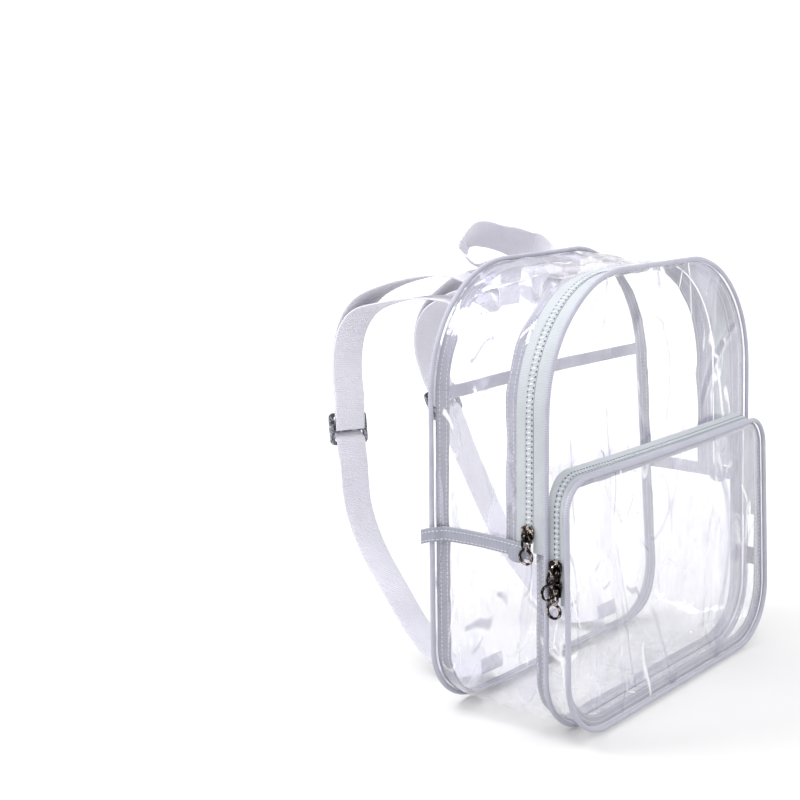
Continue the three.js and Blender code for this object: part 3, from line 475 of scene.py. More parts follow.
# Stitches and teeth by Geometry Nodes
# Puts a small rounded bar at each point of a mesh, turned by the point's own "along" and "out"
def barTree():
    tree = bpy.data.node_groups.new("bars on points", "GeometryNodeTree")
    face = tree.interface
    face.new_socket("Geometry", in_out="INPUT", socket_type="NodeSocketGeometry")
    for label, value in (("Length", 0.002), ("Width", 0.0006), ("Height", 0.0005)):
        socket = face.new_socket(label, in_out="INPUT", socket_type="NodeSocketFloat")
        socket.default_value = value
    face.new_socket("Material", in_out="INPUT", socket_type="NodeSocketMaterial")
    face.new_socket("Geometry", in_out="OUTPUT", socket_type="NodeSocketGeometry")
    node = lambda kind: tree.nodes.new(kind)
    link = tree.links.new
    source, sink = node("NodeGroupInput"), node("NodeGroupOutput")
    ball = node("GeometryNodeMeshUVSphere")
    ball.inputs["Segments"].default_value = 8
    ball.inputs["Rings"].default_value = 5
    ball.inputs["Radius"].default_value = 0.5
    size = node("ShaderNodeCombineXYZ")
    for k, label in enumerate(("Length", "Width", "Height")):
        link(source.outputs[label], size.inputs[k])
    shape = node("GeometryNodeTransform")
    link(ball.outputs["Mesh"], shape.inputs["Geometry"])
    link(size.outputs[0], shape.inputs["Scale"])
    turns = []
    for name, axis, pivot in (("along", "X", "AUTO"), ("out", "Z", "X")):
        read = node("GeometryNodeInputNamedAttribute")
        read.data_type = "FLOAT_VECTOR"
        read.inputs["Name"].default_value = name
        turn = node("FunctionNodeAlignRotationToVector")
        turn.axis = axis
        turn.pivot_axis = pivot
        link(read.outputs["Attribute"], turn.inputs["Vector"])
        if turns:
            link(turns[-1].outputs["Rotation"], turn.inputs["Rotation"])
        turns.append(turn)
    spread = node("GeometryNodeInstanceOnPoints")
    link(source.outputs["Geometry"], spread.inputs["Points"])
    link(shape.outputs["Geometry"], spread.inputs["Instance"])
    link(turns[-1].outputs["Rotation"], spread.inputs["Rotation"])
    real = node("GeometryNodeRealizeInstances")
    link(spread.outputs["Instances"], real.inputs["Geometry"])
    smooth = node("GeometryNodeSetShadeSmooth")
    link(real.outputs["Geometry"], smooth.inputs["Geometry"])
    paint = node("GeometryNodeSetMaterial")
    link(smooth.outputs["Geometry"], paint.inputs["Geometry"])
    link(source.outputs["Material"], paint.inputs["Material"])
    link(paint.outputs["Geometry"], sink.inputs["Geometry"])
    return tree


bars = barTree()


def bakeMesh(piece):
    bpy.context.view_layer.update()
    ready = piece.evaluated_get(bpy.context.evaluated_depsgraph_get())
    mesh = bpy.data.meshes.new_from_object(ready)
    piece.modifiers.clear()
    old = piece.data
    piece.data = mesh
    bpy.data.meshes.remove(old)
    mesh.name = piece.name
    return piece


# at, along and out are rows of vectors, in millimetres and directions
def barsAt(name, at, along, out, size, material):
    mesh = bpy.data.meshes.new(name)
    mesh.from_pydata((np.asarray(at) * mm).tolist(), [], [])
    for label, rows in (("along", along), ("out", out)):
        layer = mesh.attributes.new(label, "FLOAT_VECTOR", "POINT")
        layer.data.foreach_set("vector", np.asarray(rows, float).ravel())
    piece = bpy.data.objects.new(name, mesh)
    bpy.context.scene.collection.objects.link(piece)
    modifier = piece.modifiers.new("bars", "NODES")
    modifier.node_group = bars
    sockets = {s.name: s.identifier for s in bars.interface.items_tree if s.in_out == "INPUT"}
    for label, value in zip(("Length", "Width", "Height"), size):
        modifier[sockets[label]] = value * mm
    modifier[sockets["Material"]] = material
    return bakeMesh(piece)


# Evenly spaced places on a path, with their directions. normals go with the path's points.
def spaced(path, normals, pitch, start=0.0, end=0.0):
    path = np.asarray(path, float)
    arc = alongArc(path)
    count = max(1, int((arc[-1] - start - end) / pitch))
    s = start + (np.arange(count) + 0.5) * (arc[-1] - start - end) / count
    at = np.stack([np.interp(s, arc, path[:, k]) for k in range(3)], 1)
    ahead = np.stack([np.interp(s + 0.4, arc, path[:, k]) for k in range(3)], 1)
    behind = np.stack([np.interp(s - 0.4, arc, path[:, k]) for k in range(3)], 1)
    out = np.stack([np.interp(s, arc, np.asarray(normals)[:, k]) for k in range(3)], 1)
    unit = lambda v: v / np.linalg.norm(v, axis=1, keepdims=True)
    return at, unit(ahead - behind), unit(out)


def joinRuns(runs):
    return [np.concatenate(part) for part in zip(*runs)]


thread = {"size": (2.1, 0.5, 0.45), "pitch": 3.0}


# One piece of sewing from several rows of a path and the side it is seen from
def sew(name, rows, size=thread["size"], pitch=thread["pitch"]):
    at, along, out = joinRuns([spaced(path, normals, pitch) for path, normals in rows])
    return keep(barsAt(name, at, along, out, size, looks["thread"]), "tape")


# How strongly the film's painted shade and painted highlights show at each point, more where it is crumpled, for
# its material
def mark(piece, values):
    layer = piece.data.attributes.new("foldShading", "FLOAT", "POINT")
    layer.data.foreach_set("value", np.ascontiguousarray(values, float).ravel())


def keep(piece, slot, *nodes, body="bag"):
    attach(piece, body)
    if nodes:
        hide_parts(*nodes)
    return piece


# Film panels and gussets
filmThick = 0.45
filmStep = 2.2


def panelStations(seam, step):
    angles = np.linspace(-math.pi / 2, 0, max(10, round(seam["baseCorner"] * math.pi / 2 / step)))
    low = np.stack([
        seam["half"] - seam["baseCorner"] + seam["baseCorner"] * np.cos(angles),
        seam["low"] + seam["baseCorner"] * (1 + np.sin(angles)),
    ], 1)
    z = np.arange(seam["low"] + seam["baseCorner"] + step, seam["high"] - seam["topCorner"] - 0.3 * step, step)
    side = np.stack([seam["half"] + 0 * z, z], 1)
    angles = np.linspace(0, math.pi / 2, max(10, round(seam["topCorner"] * math.pi / 2 / step)))
    high = np.stack([
        seam["half"] - seam["topCorner"] + seam["topCorner"] * np.cos(angles),
        seam["high"] - seam["topCorner"] * (1 - np.sin(angles)),
    ], 1)
    return np.concatenate([low, side, high])


def panelFold(x, z, edge, fold):
    fade = np.clip(edge / 14, 0, 1) ** 0.8
    total = fold["broad"] * softNoise(x, z, fold["size"], fold["seed"])
    for k, (turn, stretch) in enumerate(fold["turns"]):
        mask = np.clip(0.5 + 1.4 * softNoise(x, z, fold["size"] * 1.2, fold["seed"] + 40 + k), 0, 1)
        ridges = crumple(x, z, fold["fine"], turn, stretch, fold["seed"] + 10 * k)
        total = total + fold["sharp"] * mask * (ridges - 0.25)
    for line in fold["creases"]:
        total = total + crease(x, z, *line)
    return total * fade


def addFilmPanel(name, seam, plane, inward, fold):
    ends = panelStations(seam, filmStep)
    cols = 120
    t = np.linspace(-1, 1, cols)
    x = ends[:, :1] * t[None, :]
    z = np.repeat(ends[:, 1:2], cols, 1)
    sideways = seam["half"] - np.abs(x)
    fromSide = np.minimum(sideways, ends[:, :1] * (1 - np.abs(t))[None, :])
    edge = np.minimum(np.minimum(seam["high"] - z, z - seam["low"]), fromSide)
    rise = panelFold(x, z, edge, fold)
    outer = stand(x, plane - inward * rise, z)
    inner = stand(x, plane - inward * rise + inward * filmThick, z)
    points = np.concatenate([outer, inner[:, ::-1]], 1)
    across = np.concatenate([x[len(x) // 2], x[len(x) // 2][::-1], [x[len(x) // 2][0]]])
    piece = tube(name, points, looks["film"], across=across, angle=60)
    # More painted shade and painted highlights near the top corners
    corners = np.clip(1 - (np.minimum(sideways, seam["high"] - z) / 60), 0, 1) * (z > seam["high"] * 0.6)
    foldShading = fold["foldShading"] + fold["top"] * corners
    mark(piece, np.concatenate([foldShading, foldShading[:, ::-1]], 1))
    corners = (4 - math.pi) / 2 * (seam["topCorner"] ** 2 + seam["baseCorner"] ** 2)
    return piece, 2 * seam["half"] * (seam["high"] - seam["low"]) - corners


# Each panel's folds, then how strongly its painted shade and painted highlights show, overall and added near the
# top corners
folds = {
    "back": {
        "broad": 2.2, "size": 70, "sharp": 1.8, "fine": 30, "seed": 11, "turns": [(0.4, 2.6), (1.9, 2.0)],
        "creases": [], "foldShading": 0.8, "top": 0.3,
    },
    "front": {
        "broad": 1.2, "size": 80, "sharp": 1.0, "fine": 36, "seed": 23, "turns": [(0.9, 3.0), (2.0, 2.5)],
        "creases": [((60, 190), (118, 250), 2.4, 1.6, 0.1)], "foldShading": 0.55, "top": 0.3,
    },
    "pocket": {
        "broad": 0.9, "size": 60, "sharp": 0.7, "fine": 34, "seed": 31, "turns": [(2.3, 2.4)],
        "creases": [((-124, 96), (-78, 52), 1.5, 1.6, -0.14)], "foldShading": 0.5, "top": 0.1,
    },
}


floorEase = 0.6  # film stays this far above the floor


def gussetFold(u, v, width, fold):
    fade = np.clip((np.minimum(v, width - v) - fold["flat"]) / 9, 0, 1) ** 0.8
    total = fold["broad"] * softNoise(u, v, fold["size"], fold["seed"])
    for k, (turn, stretch) in enumerate(fold["turns"]):
        mask = np.clip(0.5 + 1.5 * softNoise(u, v, fold["size"] * 1.3, fold["seed"] + 40 + k), 0, 1)
        ridges = crumple(u, v, fold["fine"], turn, stretch, fold["seed"] + 10 * k)
        total = total + fold["sharp"] * mask * (ridges - 0.3)
    return total * fade


def addGussetFilm(name, stations, start, end, place, fold, cols):
    middle = place(stations[:, None, :], np.full((len(stations), 1), (start + end) / 2), 0.0)[:, 0]
    u = alongArc(middle)[:, None]

    top = np.clip(stations[:, 4], 0, 1)[:, None]
    base = np.clip(-stations[:, 4], 0, 1)[:, None]

    def at(st, t, height):
        depth = start + (end - start) * t[None, :]
        rise = gussetFold(u + 0 * depth, depth - start + 0 * u, end - start, fold)
        rise = rise * (1 + fold["topMore"] * top)
        level = place(st[:, None, :], depth + 0 * u, rise)[..., 2]
        rise = rise - np.maximum(0, floorEase - level) * base
        return place(st[:, None, :], depth + 0 * u, rise + height)

    piece = skin(name, stations, cols, at, filmThick, looks["film"])
    # Painted shade and painted highlights, adjusted along the top and at the base
    foldShading = fold["foldShading"] + fold["top"] * top + fold["base"] * base
    mark(piece, np.repeat(foldShading, 2 * cols, 1))
    return piece, u[-1, 0]


for name, seam, plane, inward, key in (
    ("back_panel", bodySeam, backPlane, -1, "back"),
    ("front_panel", bodySeam, frontPlane, 1, "front"),
    ("pocket_panel", pocketSeam, pocketPlane, 1, "pocket"),
):
    piece, flatArea = addFilmPanel(f"{name}_film", seam, plane, inward, folds[key])
    keep(piece, "film", name)

mainZip = {"tape": 9, "chain": 6, "rear": 7}
pocketZip = {"tape": 5.7, "chain": 5.2}
zipDepth = {
    "frontTape": filmEdge, "chain": filmEdge + mainZip["tape"] + gap,
    "rearTape": filmEdge + mainZip["tape"] + mainZip["chain"] + 2 * gap,
}
zipGussetEnd = zipDepth["rearTape"] + mainZip["rear"]
# Each gusset's folds, then how strongly its painted shade and painted highlights show, overall, added at the top
# and adjusted at the base
gussetFolds = {
    "upper": {
        "broad": 1.4, "size": 46, "sharp": 1.9, "fine": 22, "seed": 51, "turns": [(0.2, 2.2), (1.3, 2.5)],
        "topMore": 0.9, "flat": 3, "foldShading": 0.7, "top": 0.45, "base": 0,
    },
    "lower": {
        "broad": 1.5, "size": 50, "sharp": 1.5, "fine": 24, "seed": 67, "turns": [(1.1, 2.6), (2.2, 2.2)],
        "topMore": 0, "flat": 4, "foldShading": 0.45, "top": 0, "base": -0.2,
    },
    "pocket": {
        "broad": 0.4, "size": 30, "sharp": 0.3, "fine": 18, "seed": 71, "turns": [(0.8, 2.0)],
        "topMore": 0, "flat": 0, "foldShading": 0.4, "top": 0, "base": 0.2,
    },
}
for name, stations, start, end, place, key, cols in (
    ("upper_gusset", bodyLine["upper"], zipGussetEnd + gap, seamDepth - filmEdge, onGusset, "upper", 44),
    ("lower_gusset", bodyLine["lower"], filmEdge, seamDepth - filmEdge, onGusset, "lower", 54),
    ("pocket_gusset", pocketLine["lower"], layGap, pocket["depth"] - filmEdge, onPocketGusset, "pocket", 12),
):
    piece, length = addGussetFilm(f"{name}_film", stations, start, end, place, gussetFolds[key], cols)
    keep(piece, "film", name)
print("film cut and folded")


# Piping and bound seams
def addPiping(name, node, line, plane, outward, seed):
    st = line["loop"][:, None, :]
    sides = 14
    angle = np.arange(sides) / sides * 2 * math.pi
    middle = rim(line["loop"], pipingSeat, plane)
    u = alongArc(middle)
    wobble = 0.28 * softNoise(u, 0 * u, 37, seed)[:, None]
    radius = pipingRadius * (1 + 0.03 * softNoise(u, 0 * u + 50, 5, seed + 1))[:, None]
    out = pipingSeat + wobble + radius * np.cos(angle)[None, :]
    ahead = pipingSeat + radius * np.sin(angle)[None, :]
    points = rim(st, out, plane + outward * ahead)
    return keep(tube(name, points, looks["piping"], closed=True), "tape", node)


addPiping("back_piping_cord", "back_piping", bodyLine, backPlane, 1, 81)
addPiping("front_piping_cord", "front_piping", bodyLine, frontPlane, -1, 83)
addPiping("pocket_piping_cord", "pocket_piping", pocketLine, pocketPlane, -1, 85)

bindings = {
    "seam": {"width": 8.9, "tilt": math.radians(10), "start": 0.7, "under": 0.7},
    "zip": {"width": 11, "tilt": math.radians(12), "start": filmEdge + layGap, "under": filmCut + layGap},
    "pocket": {"width": 6.5, "tilt": math.radians(55), "start": 0.7, "under": 0.7},
}


stitchColumns = (2, 5)


# A folded tape on the seam allowance inside the bag: its free edge waves a little
def addBinding(name, node, stations, closed, kind, place, seed, wave=1.0):
    cut = bindings[kind]
    cols = 7
    t = np.linspace(0, 1, cols)
    u = alongArc(place(stations, np.full(len(stations), 6.0), np.full(len(stations), -2.0)))[:, None]
    ripple = wave * softNoise(u, 0 * u, 24, seed) * t[None, :] ** 1.5
    stretch = 1 + 0.06 * softNoise(u, 0 * u + 9, 18, seed + 1)
    run = cut["width"] * t[None, :] * stretch

    def layer(thick):
        depth = cut["start"] + math.cos(cut["tilt"]) * run - math.sin(cut["tilt"]) * thick
        out = -cut["under"] - math.sin(cut["tilt"]) * run - math.cos(cut["tilt"]) * thick - np.abs(ripple)
        return place(stations[:, None, :], depth, out)

    points = np.concatenate([layer(0.0), layer(tapeCut)[:, ::-1]], 1)
    across = cut["width"] * np.concatenate([t, 1 - t, [0]])
    keep(tube(name, points, looks["binding"], closed=closed, across=across), "tape", node)
    rows = []
    outer, inner = layer(-0.1), layer(tapeCut + 0.1)
    for col in stitchColumns:
        rows += [(outer[:, col], outer[:, col] - inner[:, col]), (inner[:, col], inner[:, col] - outer[:, col])]
    sew(f"{name}_sewing", rows)


addBinding("back_seam_tape", "back_seam_binding", bodyLine["loop"], True, "seam",
           lambda st, depth, out: onGusset(st, seamDepth - depth, out), 91)
addBinding("front_seam_tape", "front_seam_binding", bodyLine["loop"], True, "seam", onGusset, 93)
addBinding("pocket_seam_tape", "pocket_seam_binding", pocketLine["loop"], True, "pocket",
           lambda st, depth, out: onPocketGusset(st, pocket["depth"] - depth, out), 95, 0.4)
addBinding("zip_gusset_tape", "zip_gusset_binding", bodyLine["upper"], False, "zip",
           lambda st, depth, out: onGusset(st, depth + zipGussetEnd - filmEdge, out), 97, 1.6)
print("piping and bindings sewn")


# Zips
slider = {"length": 11, "post": 2.2, "main": 139, "pocketUpper": 120}
bandTop = body["zipEnd"] + 5 + 1.5


def addStrip(name, node, stations, start, end, place, slot, seed, top=0.0, thick=tapeCut, wave=0.25):
    cols = 6
    t = np.linspace(0, 1, cols)
    u = alongArc(place(stations, np.full(len(stations), (start + end) / 2), np.zeros(len(stations))))[:, None]
    ripple = wave * softNoise(u, 14 * t[None, :], 21, seed)

    def at(st, share, height):
        depth = start + (end - start) * share[None, :] + 0 * u
        return place(st[:, None, :], depth, top + ripple + height)

    return keep(skin(name, stations, cols, at, thick, looks["zipTape"]), slot, node)


def trimmed(stations, first, last):
    kept = stations.copy()
    inside = (np.abs(kept[:, 3]) < 1) | (kept[:, 4] != 0) | (kept[:, 1] > first)
    kept = kept[inside]
    kept[0, 1] = first
    kept[-1, 1] = last
    return kept


upper = bodyLine["upper"]
pocketDepth = {
    "rear": layGap, "chain": layGap + pocketZip["tape"] + gap,
    "front": layGap + pocketZip["tape"] + pocketZip["chain"] + 2 * gap,
}
pocketEnd = pocket["depth"] - filmEdge
pocketUpper = pocketLine["upper"]
for name, node, stations, start, end, place, seed, wave in (
    ("main_zip_front_tape", "main_zip_tape_front", upper, zipDepth["frontTape"],
     zipDepth["frontTape"] + mainZip["tape"], onGusset, 101, 0.25),
    ("main_zip_rear_tape", "main_zip_tape_rear", upper, zipDepth["rearTape"], zipGussetEnd, onGusset, 103, 0.25),
    ("pocket_zip_rear_cloth", "pocket_zip_tape_rear", pocketUpper, pocketDepth["rear"],
     pocketDepth["rear"] + pocketZip["tape"], onPocketGusset, 105, 0.15),
    ("pocket_zip_front_cloth", "pocket_zip_tape_front", pocketUpper, pocketDepth["front"],
     pocketEnd, onPocketGusset, 107, 0.15),
):
    addStrip(name, node, stations, start, end, place, "zip_tape", seed, wave=wave)


# The chain: a low woven core, light rungs across it and, along both edges, small dark bars of painted shadow
# standing for the shade in the coil's gaps
chainLook = {
    "pitch": 3.4, "rung": (0.5, 1.5, 0.9), "spread": 0.36,
    "gapShadows": {-1: (1.5, 1.15, 0.7), 1: (1.15, 0.95, 0.6)},
}


def addChain(name, node, stations, start, width, place):
    addStrip(f"{name}_core", node, stations, start, start + width, place, "chain", 111, 0.25, 1.5, 0.0)
    pitch = chainLook["pitch"]

    def row(share, shift):
        depth = np.full(len(stations), start + width * (0.5 + share))
        path = place(stations, depth, np.full(len(stations), 0.3))
        below = place(stations, depth, np.full(len(stations), -1.0))
        return spaced(path, path - below, pitch, shift * pitch)

    at, along, out = row(0, 0.5)
    length, wide, high = chainLook["rung"]
    size = (length * width, wide, high)
    keep(barsAt(f"{name}_rungs", at, np.cross(along, out), out, size, looks["coil"]), "chain")
    # Dark bars of painted shadow along both edges of the chain
    for side, size in chainLook["gapShadows"].items():
        edge = "front" if side > 0 else "rear"
        keep(barsAt(f"{name}_gaps_{edge}", *row(side * chainLook["spread"], 0), size, looks["coilGap"]), "chain")


chainStart = slider["post"] - slider["length"] / 2 + gap
mainRun = trimmed(upper, slider["main"] + chainStart, bandTop + gap)
pocketRun = trimmed(pocketUpper, slider["pocketUpper"] + chainStart, pocket["zipEnd"] + 1)
addChain("main_zip", "main_zip_chain", mainRun, zipDepth["chain"], mainZip["chain"], onGusset)
addChain("pocket_zip", "pocket_zip_chain", pocketRun, pocketDepth["chain"], pocketZip["chain"], onPocketGusset)
print("zips laid")


# Bands of tape
sideBand = {"level": body["zipEnd"], "width": 10, "arch": 1.5, "drop": 4, "tail": 5, "front": 12, "lead": 9}


def bodySide(side, z):
    z = np.asarray(z, float)
    return np.stack([side * bodySeam["half"] + 0 * z, z, 0 * z, side + 0 * z, 0 * z], -1)


def roundedSection(width, thick, cols, edge=3):
    t = np.linspace(-1, 1, cols)
    half = width / 2
    top = np.stack([t * (half - thick * 0.3), np.full(cols, thick / 2)], 1)
    angles = np.linspace(math.pi / 2, -math.pi / 2, edge + 2)[1:-1]
    right = np.stack([half - thick * 0.3 + thick * 0.3 * np.cos(angles), thick / 2 * np.sin(angles)], 1)
    return np.concatenate([top, right, -top, -right])


# Which way the cloth's face looks at one column of a strip's points
def outward(points, col):
    middle = points.mean(1)
    along = np.gradient(middle, axis=0)
    across = points[:, col + 1] - points[:, col]
    normal = np.cross(along, across)
    normal /= np.linalg.norm(normal, axis=1, keepdims=True)
    side = ((points[:, col] - middle) * normal).sum(1, keepdims=True)
    return normal * np.sign(side)


def addSideBand(name, node, side):
    low, high = layGap + tapeCut / 2, pipingReach + gap + tapeCut
    depths = [*np.linspace(sideBand["front"], seamDepth - sideBand["lead"], 5), seamDepth - pipingRadius,
              seamDepth + pipingReach, seamDepth + pipingReach + sideBand["tail"]]
    place = np.arange(8.0)
    fine = np.linspace(0, 7, 64)
    depth = np.interp(fine, place, depths)
    ramp = np.clip(fine - 4, 0, 1)
    out = low + (high - low) * ramp * ramp * (3 - 2 * ramp)
    lift = sideBand["arch"] * np.sin(math.pi * fine / 7) - sideBand["drop"] * (fine / 7) ** 2
    section = roundedSection(sideBand["width"], tapeCut, 9)
    level = sideBand["level"] + lift[:, None] + section[None, :, 0]
    ripple = 0.2 * softNoise(fine[:, None] * 9, section[None, :, 0] * 2, 8, 121)
    points = onGusset(bodySide(side, level), depth[:, None], out[:, None] + section[None, :, 1] + ripple)
    across = np.concatenate([section[:, 0], section[:1, 0]])
    keep(tube(name, points, looks["binding"], across=across), "tape", node)
    sides = [(col, outward(points, col)) for col in (1, 6)]
    sew(f"{name}_sewing", [(points[:, col] + 0.05 * out, out) for col, out in sides])


# The end of the tape round the zip's edge, turned under at the band's front
bandFold = {"depth": (16.5, 29), "drop": 3.2, "width": 10.5, "thick": 1.3, "proud": 0.75}


def addBandFold(name, side):
    depth = np.linspace(*bandFold["depth"], 18)[:, None]
    section = roundedSection(bandFold["width"], bandFold["thick"], 9)
    round_ = np.sin(np.linspace(0.25, math.pi - 0.25, 18))[:, None] ** 0.35
    level = sideBand["level"] - bandFold["drop"] + round_ * section[None, :, 0]
    low = layGap + tapeCut + bandFold["proud"] - bandFold["thick"] / 2
    points = onGusset(bodySide(side, level), depth + 0 * level, low + round_ * section[None, :, 1] + 0 * level)
    across = np.concatenate([section[:, 0], section[:1, 0]])
    keep(tube(name, points, looks["binding"], across=across), "tape")


addSideBand("left_side_band", "side_band_left", -1)
addBandFold("left_band_fold", -1)
addBandFold("right_band_fold", 1)
addSideBand("right_side_band", "side_band_right", 1)


# The back's cross tape takes the lighter piping cloth instead of the darker binding cloth: painted light, as
# this tape is lit from behind
def addCrossBand():
    half = bodySeam["half"] - 7
    x = np.linspace(-half, half, 110)
    section = roundedSection(9, tapeCut, 9)
    face = backPlane - filmCut - layGap - tapeCut / 2
    level = 219 + section[None, :, 0] + 0.5 * softNoise(x, 0 * x, 40, 123)[:, None]
    points = stand(x[:, None], face + section[None, :, 1], level)
    across = np.concatenate([section[:, 0], section[:1, 0]])
    return keep(tube("back_cross_tape", points, looks["piping"], across=across), "tape", "back_cross_band")


addCrossBand()


def addSideTab():
    start = pipingReach + gap
    s = np.linspace(0, 1, 14)
    section = roundedSection(14, tapeCut, 9)
    level = 63 + section[None, :, 0] + 0 * s[:, None]
    st = np.stack([pocketSeam["half"] + 0 * level, level, 0 * level, 1 + 0 * level, 0 * level], -1)
    out = gap + tapeCut / 2 + section[None, :, 1] + 0.15 * np.sin(3 * s)[:, None]
    points = onPocketGusset(st, start + 9 * s[:, None], out)
    across = np.concatenate([section[:, 0], section[:1, 0]])
    return keep(tube("right_side_tab", points, looks["tab"], across=across), "tab", "side_tab")


addSideTab()
print("bands sewn on")

# Straps, ring tabs and handle
webbing = {"width": 25, "thick": 1.3}
strap = {"reach": 150, "tail": 11, "openShare": 0.75, "openDrop": 20, "openCurve": 0.8, "clearRun": 9}
weave = {"ease": 0.35, "layerEase": 0.1, "lead": 2, "edge": 0.4, "settle": 8}
ring = {"width": 34, "height": 25, "bar": 3.2, "thick": 3, "below": 22, "standOff": 8.5, "lean": 0.88}
adjuster = {"width": 32, "frame": 3, "slot": 7, "bar": 4.5, "thick": 3}
handle = {"spread": 79, "back": 42, "rise": 19, "rootLength": 9, "rootDrop": 5}
ringTab = {"side": 40, "foot": 13, "lead": 3, "swell": 2.2, "over": 1.6, "close": 6, "pinch": 1.4}
ringLevel = body["height"] - ring["below"]
lay = gap + webbing["thick"] / 2
strapRows = np.array([
    (.53, .53, .06, .06, .0302, 0), (.53, .53, .18, .18, .014, 0), (.55, .52, .28, .33, .0366, 2),
    (.56, .51, .42, .45, .1024, 4), (.57, .49, .555, .59, .1994, 5), (.57, .47, .69, .68, .2964, 7),
    (.57, .44, .778, .75, .3988, 9), (.57, .41, .808, .83, .5065, 12), (.56, .38, .838, .9, .6143, 15),
    (.54, .35, .858, .95, .7005, 17), (.52, .33, .875, .97, .7975, 17), (.49, .31, .85, .9, .8945, 16),
    (.45, .31, .785, .78, .9538, 13), (.41, .31, .66, .67, .9915, 9), (.36, .31, .465, .49, 1.0185, 5),
    (.33, .3, .3, .28, 1.0239, 2), (.31, .3, .22, .22, 1.0131, 0),
])
adjusterRow = 8


def behind(x, off, z):
    return stand(x, backPlane + off, z)


def unit(v):
    v = np.asarray(v, float)
    return v / np.linalg.norm(v, axis=-1, keepdims=True)


# A smooth curve through points, spaced by the square root of their distances
class Route:
    def __init__(self, points):
        self.points = np.asarray(points, float)

    def at(self, share):
        p, n = self.points, len(self.points)
        place = min(max(share, 0), 1) * (n - 1)
        k = min(int(place), n - 2)
        w = place - k
        p0 = p[k - 1] if k > 0 else 2 * p[0] - p[1]
        p3 = p[k + 2] if k + 2 < n else 2 * p[-1] - p[-2]
        p1, p2 = p[k], p[k + 1]
        d = [max(1e-4, float(((b - a) ** 2).sum())) ** 0.25 for a, b in ((p0, p1), (p1, p2), (p2, p3))]
        t1 = ((p1 - p0) / d[0] - (p2 - p0) / (d[0] + d[1]) + (p2 - p1) / d[1]) * d[1]
        t2 = ((p2 - p1) / d[1] - (p3 - p1) / (d[1] + d[2]) + (p3 - p2) / d[2]) * d[1]
        return p1 + t1 * w + (-3 * p1 + 3 * p2 - 2 * t1 - t2) * w ** 2 + (2 * p1 - 2 * p2 + t1 + t2) * w ** 3

    def tangent(self, share):
        a, b = max(0, share - 1e-4), min(1, share + 1e-4)
        return unit(self.at(b) - self.at(a))

    def length(self):
        return alongArc(np.array([self.at(s) for s in np.linspace(0, 1, 201)]))[-1]


def flatRow(x, off, z):
    return behind(x, off, z), unit(behind(x + 12.5, off, z) - behind(x - 12.5, off, z))


def widthAt(turn):
    a = math.radians(turn)
    return np.array([math.cos(a), -math.sin(a), 0.0])


ringDrop = ring["height"] - ring["bar"]
ringLean = np.array([0, math.cos(ring["lean"]), -math.sin(ring["lean"])])


def ringCentres(side):
    top = behind(side * ringTab["side"], ring["standOff"], ringLevel)
    return top, top + ringLean * ringDrop


def turnAt(share):
    return float(np.interp(share * (len(strapRows) - 1), np.arange(len(strapRows)), strapRows[:, 5]))


def strapRoute(side):
    col = 0 if side < 0 else 1
    x = side * strapRows[:, col] * body["width"] / 2
    return Route(behind(x, strapRows[:, 2 + col] * strap["reach"], strapRows[:, 4] * ringLevel))


def adjusterFrame(side):
    route = strapRoute(side)
    share = adjusterRow / (len(strapRows) - 1)
    up = route.tangent(share)
    wide = widthAt(turnAt(share))
    across = unit(wide - up * wide.dot(up))
    return route.at(share), up, across, -np.cross(across, up), share


def turnRound(centre, radius, count, side=1):
    angles = math.pi / 2 + np.arange(count + 1) / count * math.pi
    turns = [np.array([0, side * radius * math.cos(a), radius * math.sin(a)]) for a in angles]
    return [(centre + turn, np.array([1.0, 0, 0])) for turn in turns]


def strapPath(side):
    route = strapRoute(side)
    centre, up, across, out, share = adjusterFrame(side)
    col = 0 if side < 0 else 1
    footX = side * strapRows[0, col] * body["width"] / 2
    footTurn = strapRows[0, 4] * ringLevel + 2 * webbing["thick"]
    step = adjuster["thick"] / 2 + gap + webbing["thick"] / 2 + weave["ease"]
    inner, edge = adjuster["bar"] / 2, adjuster["bar"] / 2 + adjuster["slot"]
    outer = edge + adjuster["frame"]
    local = lambda a, b: (centre + up * a + out * b, across)
    woven = [local(a, b) for a, b in (
        (-outer - weave["lead"], -step), (-edge - weave["edge"], -step), (-inner, step), (inner, step),
        (edge + weave["edge"], -step), (outer + weave["lead"], -step),
    )]
    layer = webbing["thick"] + gap + weave["layerEase"]
    skip = (outer + strap["clearRun"]) / route.length()

    def sampled(start, end, count, offset):
        rows = []
        for k in range(count + 1):
            s = start + (end - start) * k / count
            tangent, wide = route.tangent(s), widthAt(turnAt(s))
            cross = unit(wide - tangent * wide.dot(tangent))
            rows.append((route.at(s) - np.cross(cross, tangent) * offset(k / count), wide))
        return rows

    bottom = sampled(0, share - skip, 20, lambda s: -step * s ** weave["settle"])
    upRun = sampled(share + skip, 1, 18, lambda s: -step * (1 - s) ** weave["settle"])
    low = ringCentres(side)[1]
    loop = turnRound(low, ring["bar"] * math.sqrt(2) / 2 + lay, 6)
    back = sampled(1, share + skip, 18, lambda s: -layer - step * s ** weave["settle"])
    for k, (at, wide) in enumerate(back):
        at[2] -= strap["openDrop"] * max(0, 1 - k / (len(back) - 1) / strap["openShare"]) ** strap["openCurve"]
    last = [local(a, b) for a, b in (
        (outer + weave["lead"], -step - layer), (edge + weave["edge"], -step - layer), (-inner / 2, -step),
    )]
    foot = [flatRow(footX, lay, footTurn + strap["tail"]), flatRow(footX, lay, footTurn)]
    return [*foot, *bottom, *woven, *upRun, *loop, *back, *last]


# Rows averaged over a length along their path
def evened(rows, arc, length):
    weight = np.exp(-((arc[:, None] - arc[None, :]) / length) ** 2)
    return weight @ rows / weight.sum(1, keepdims=True)


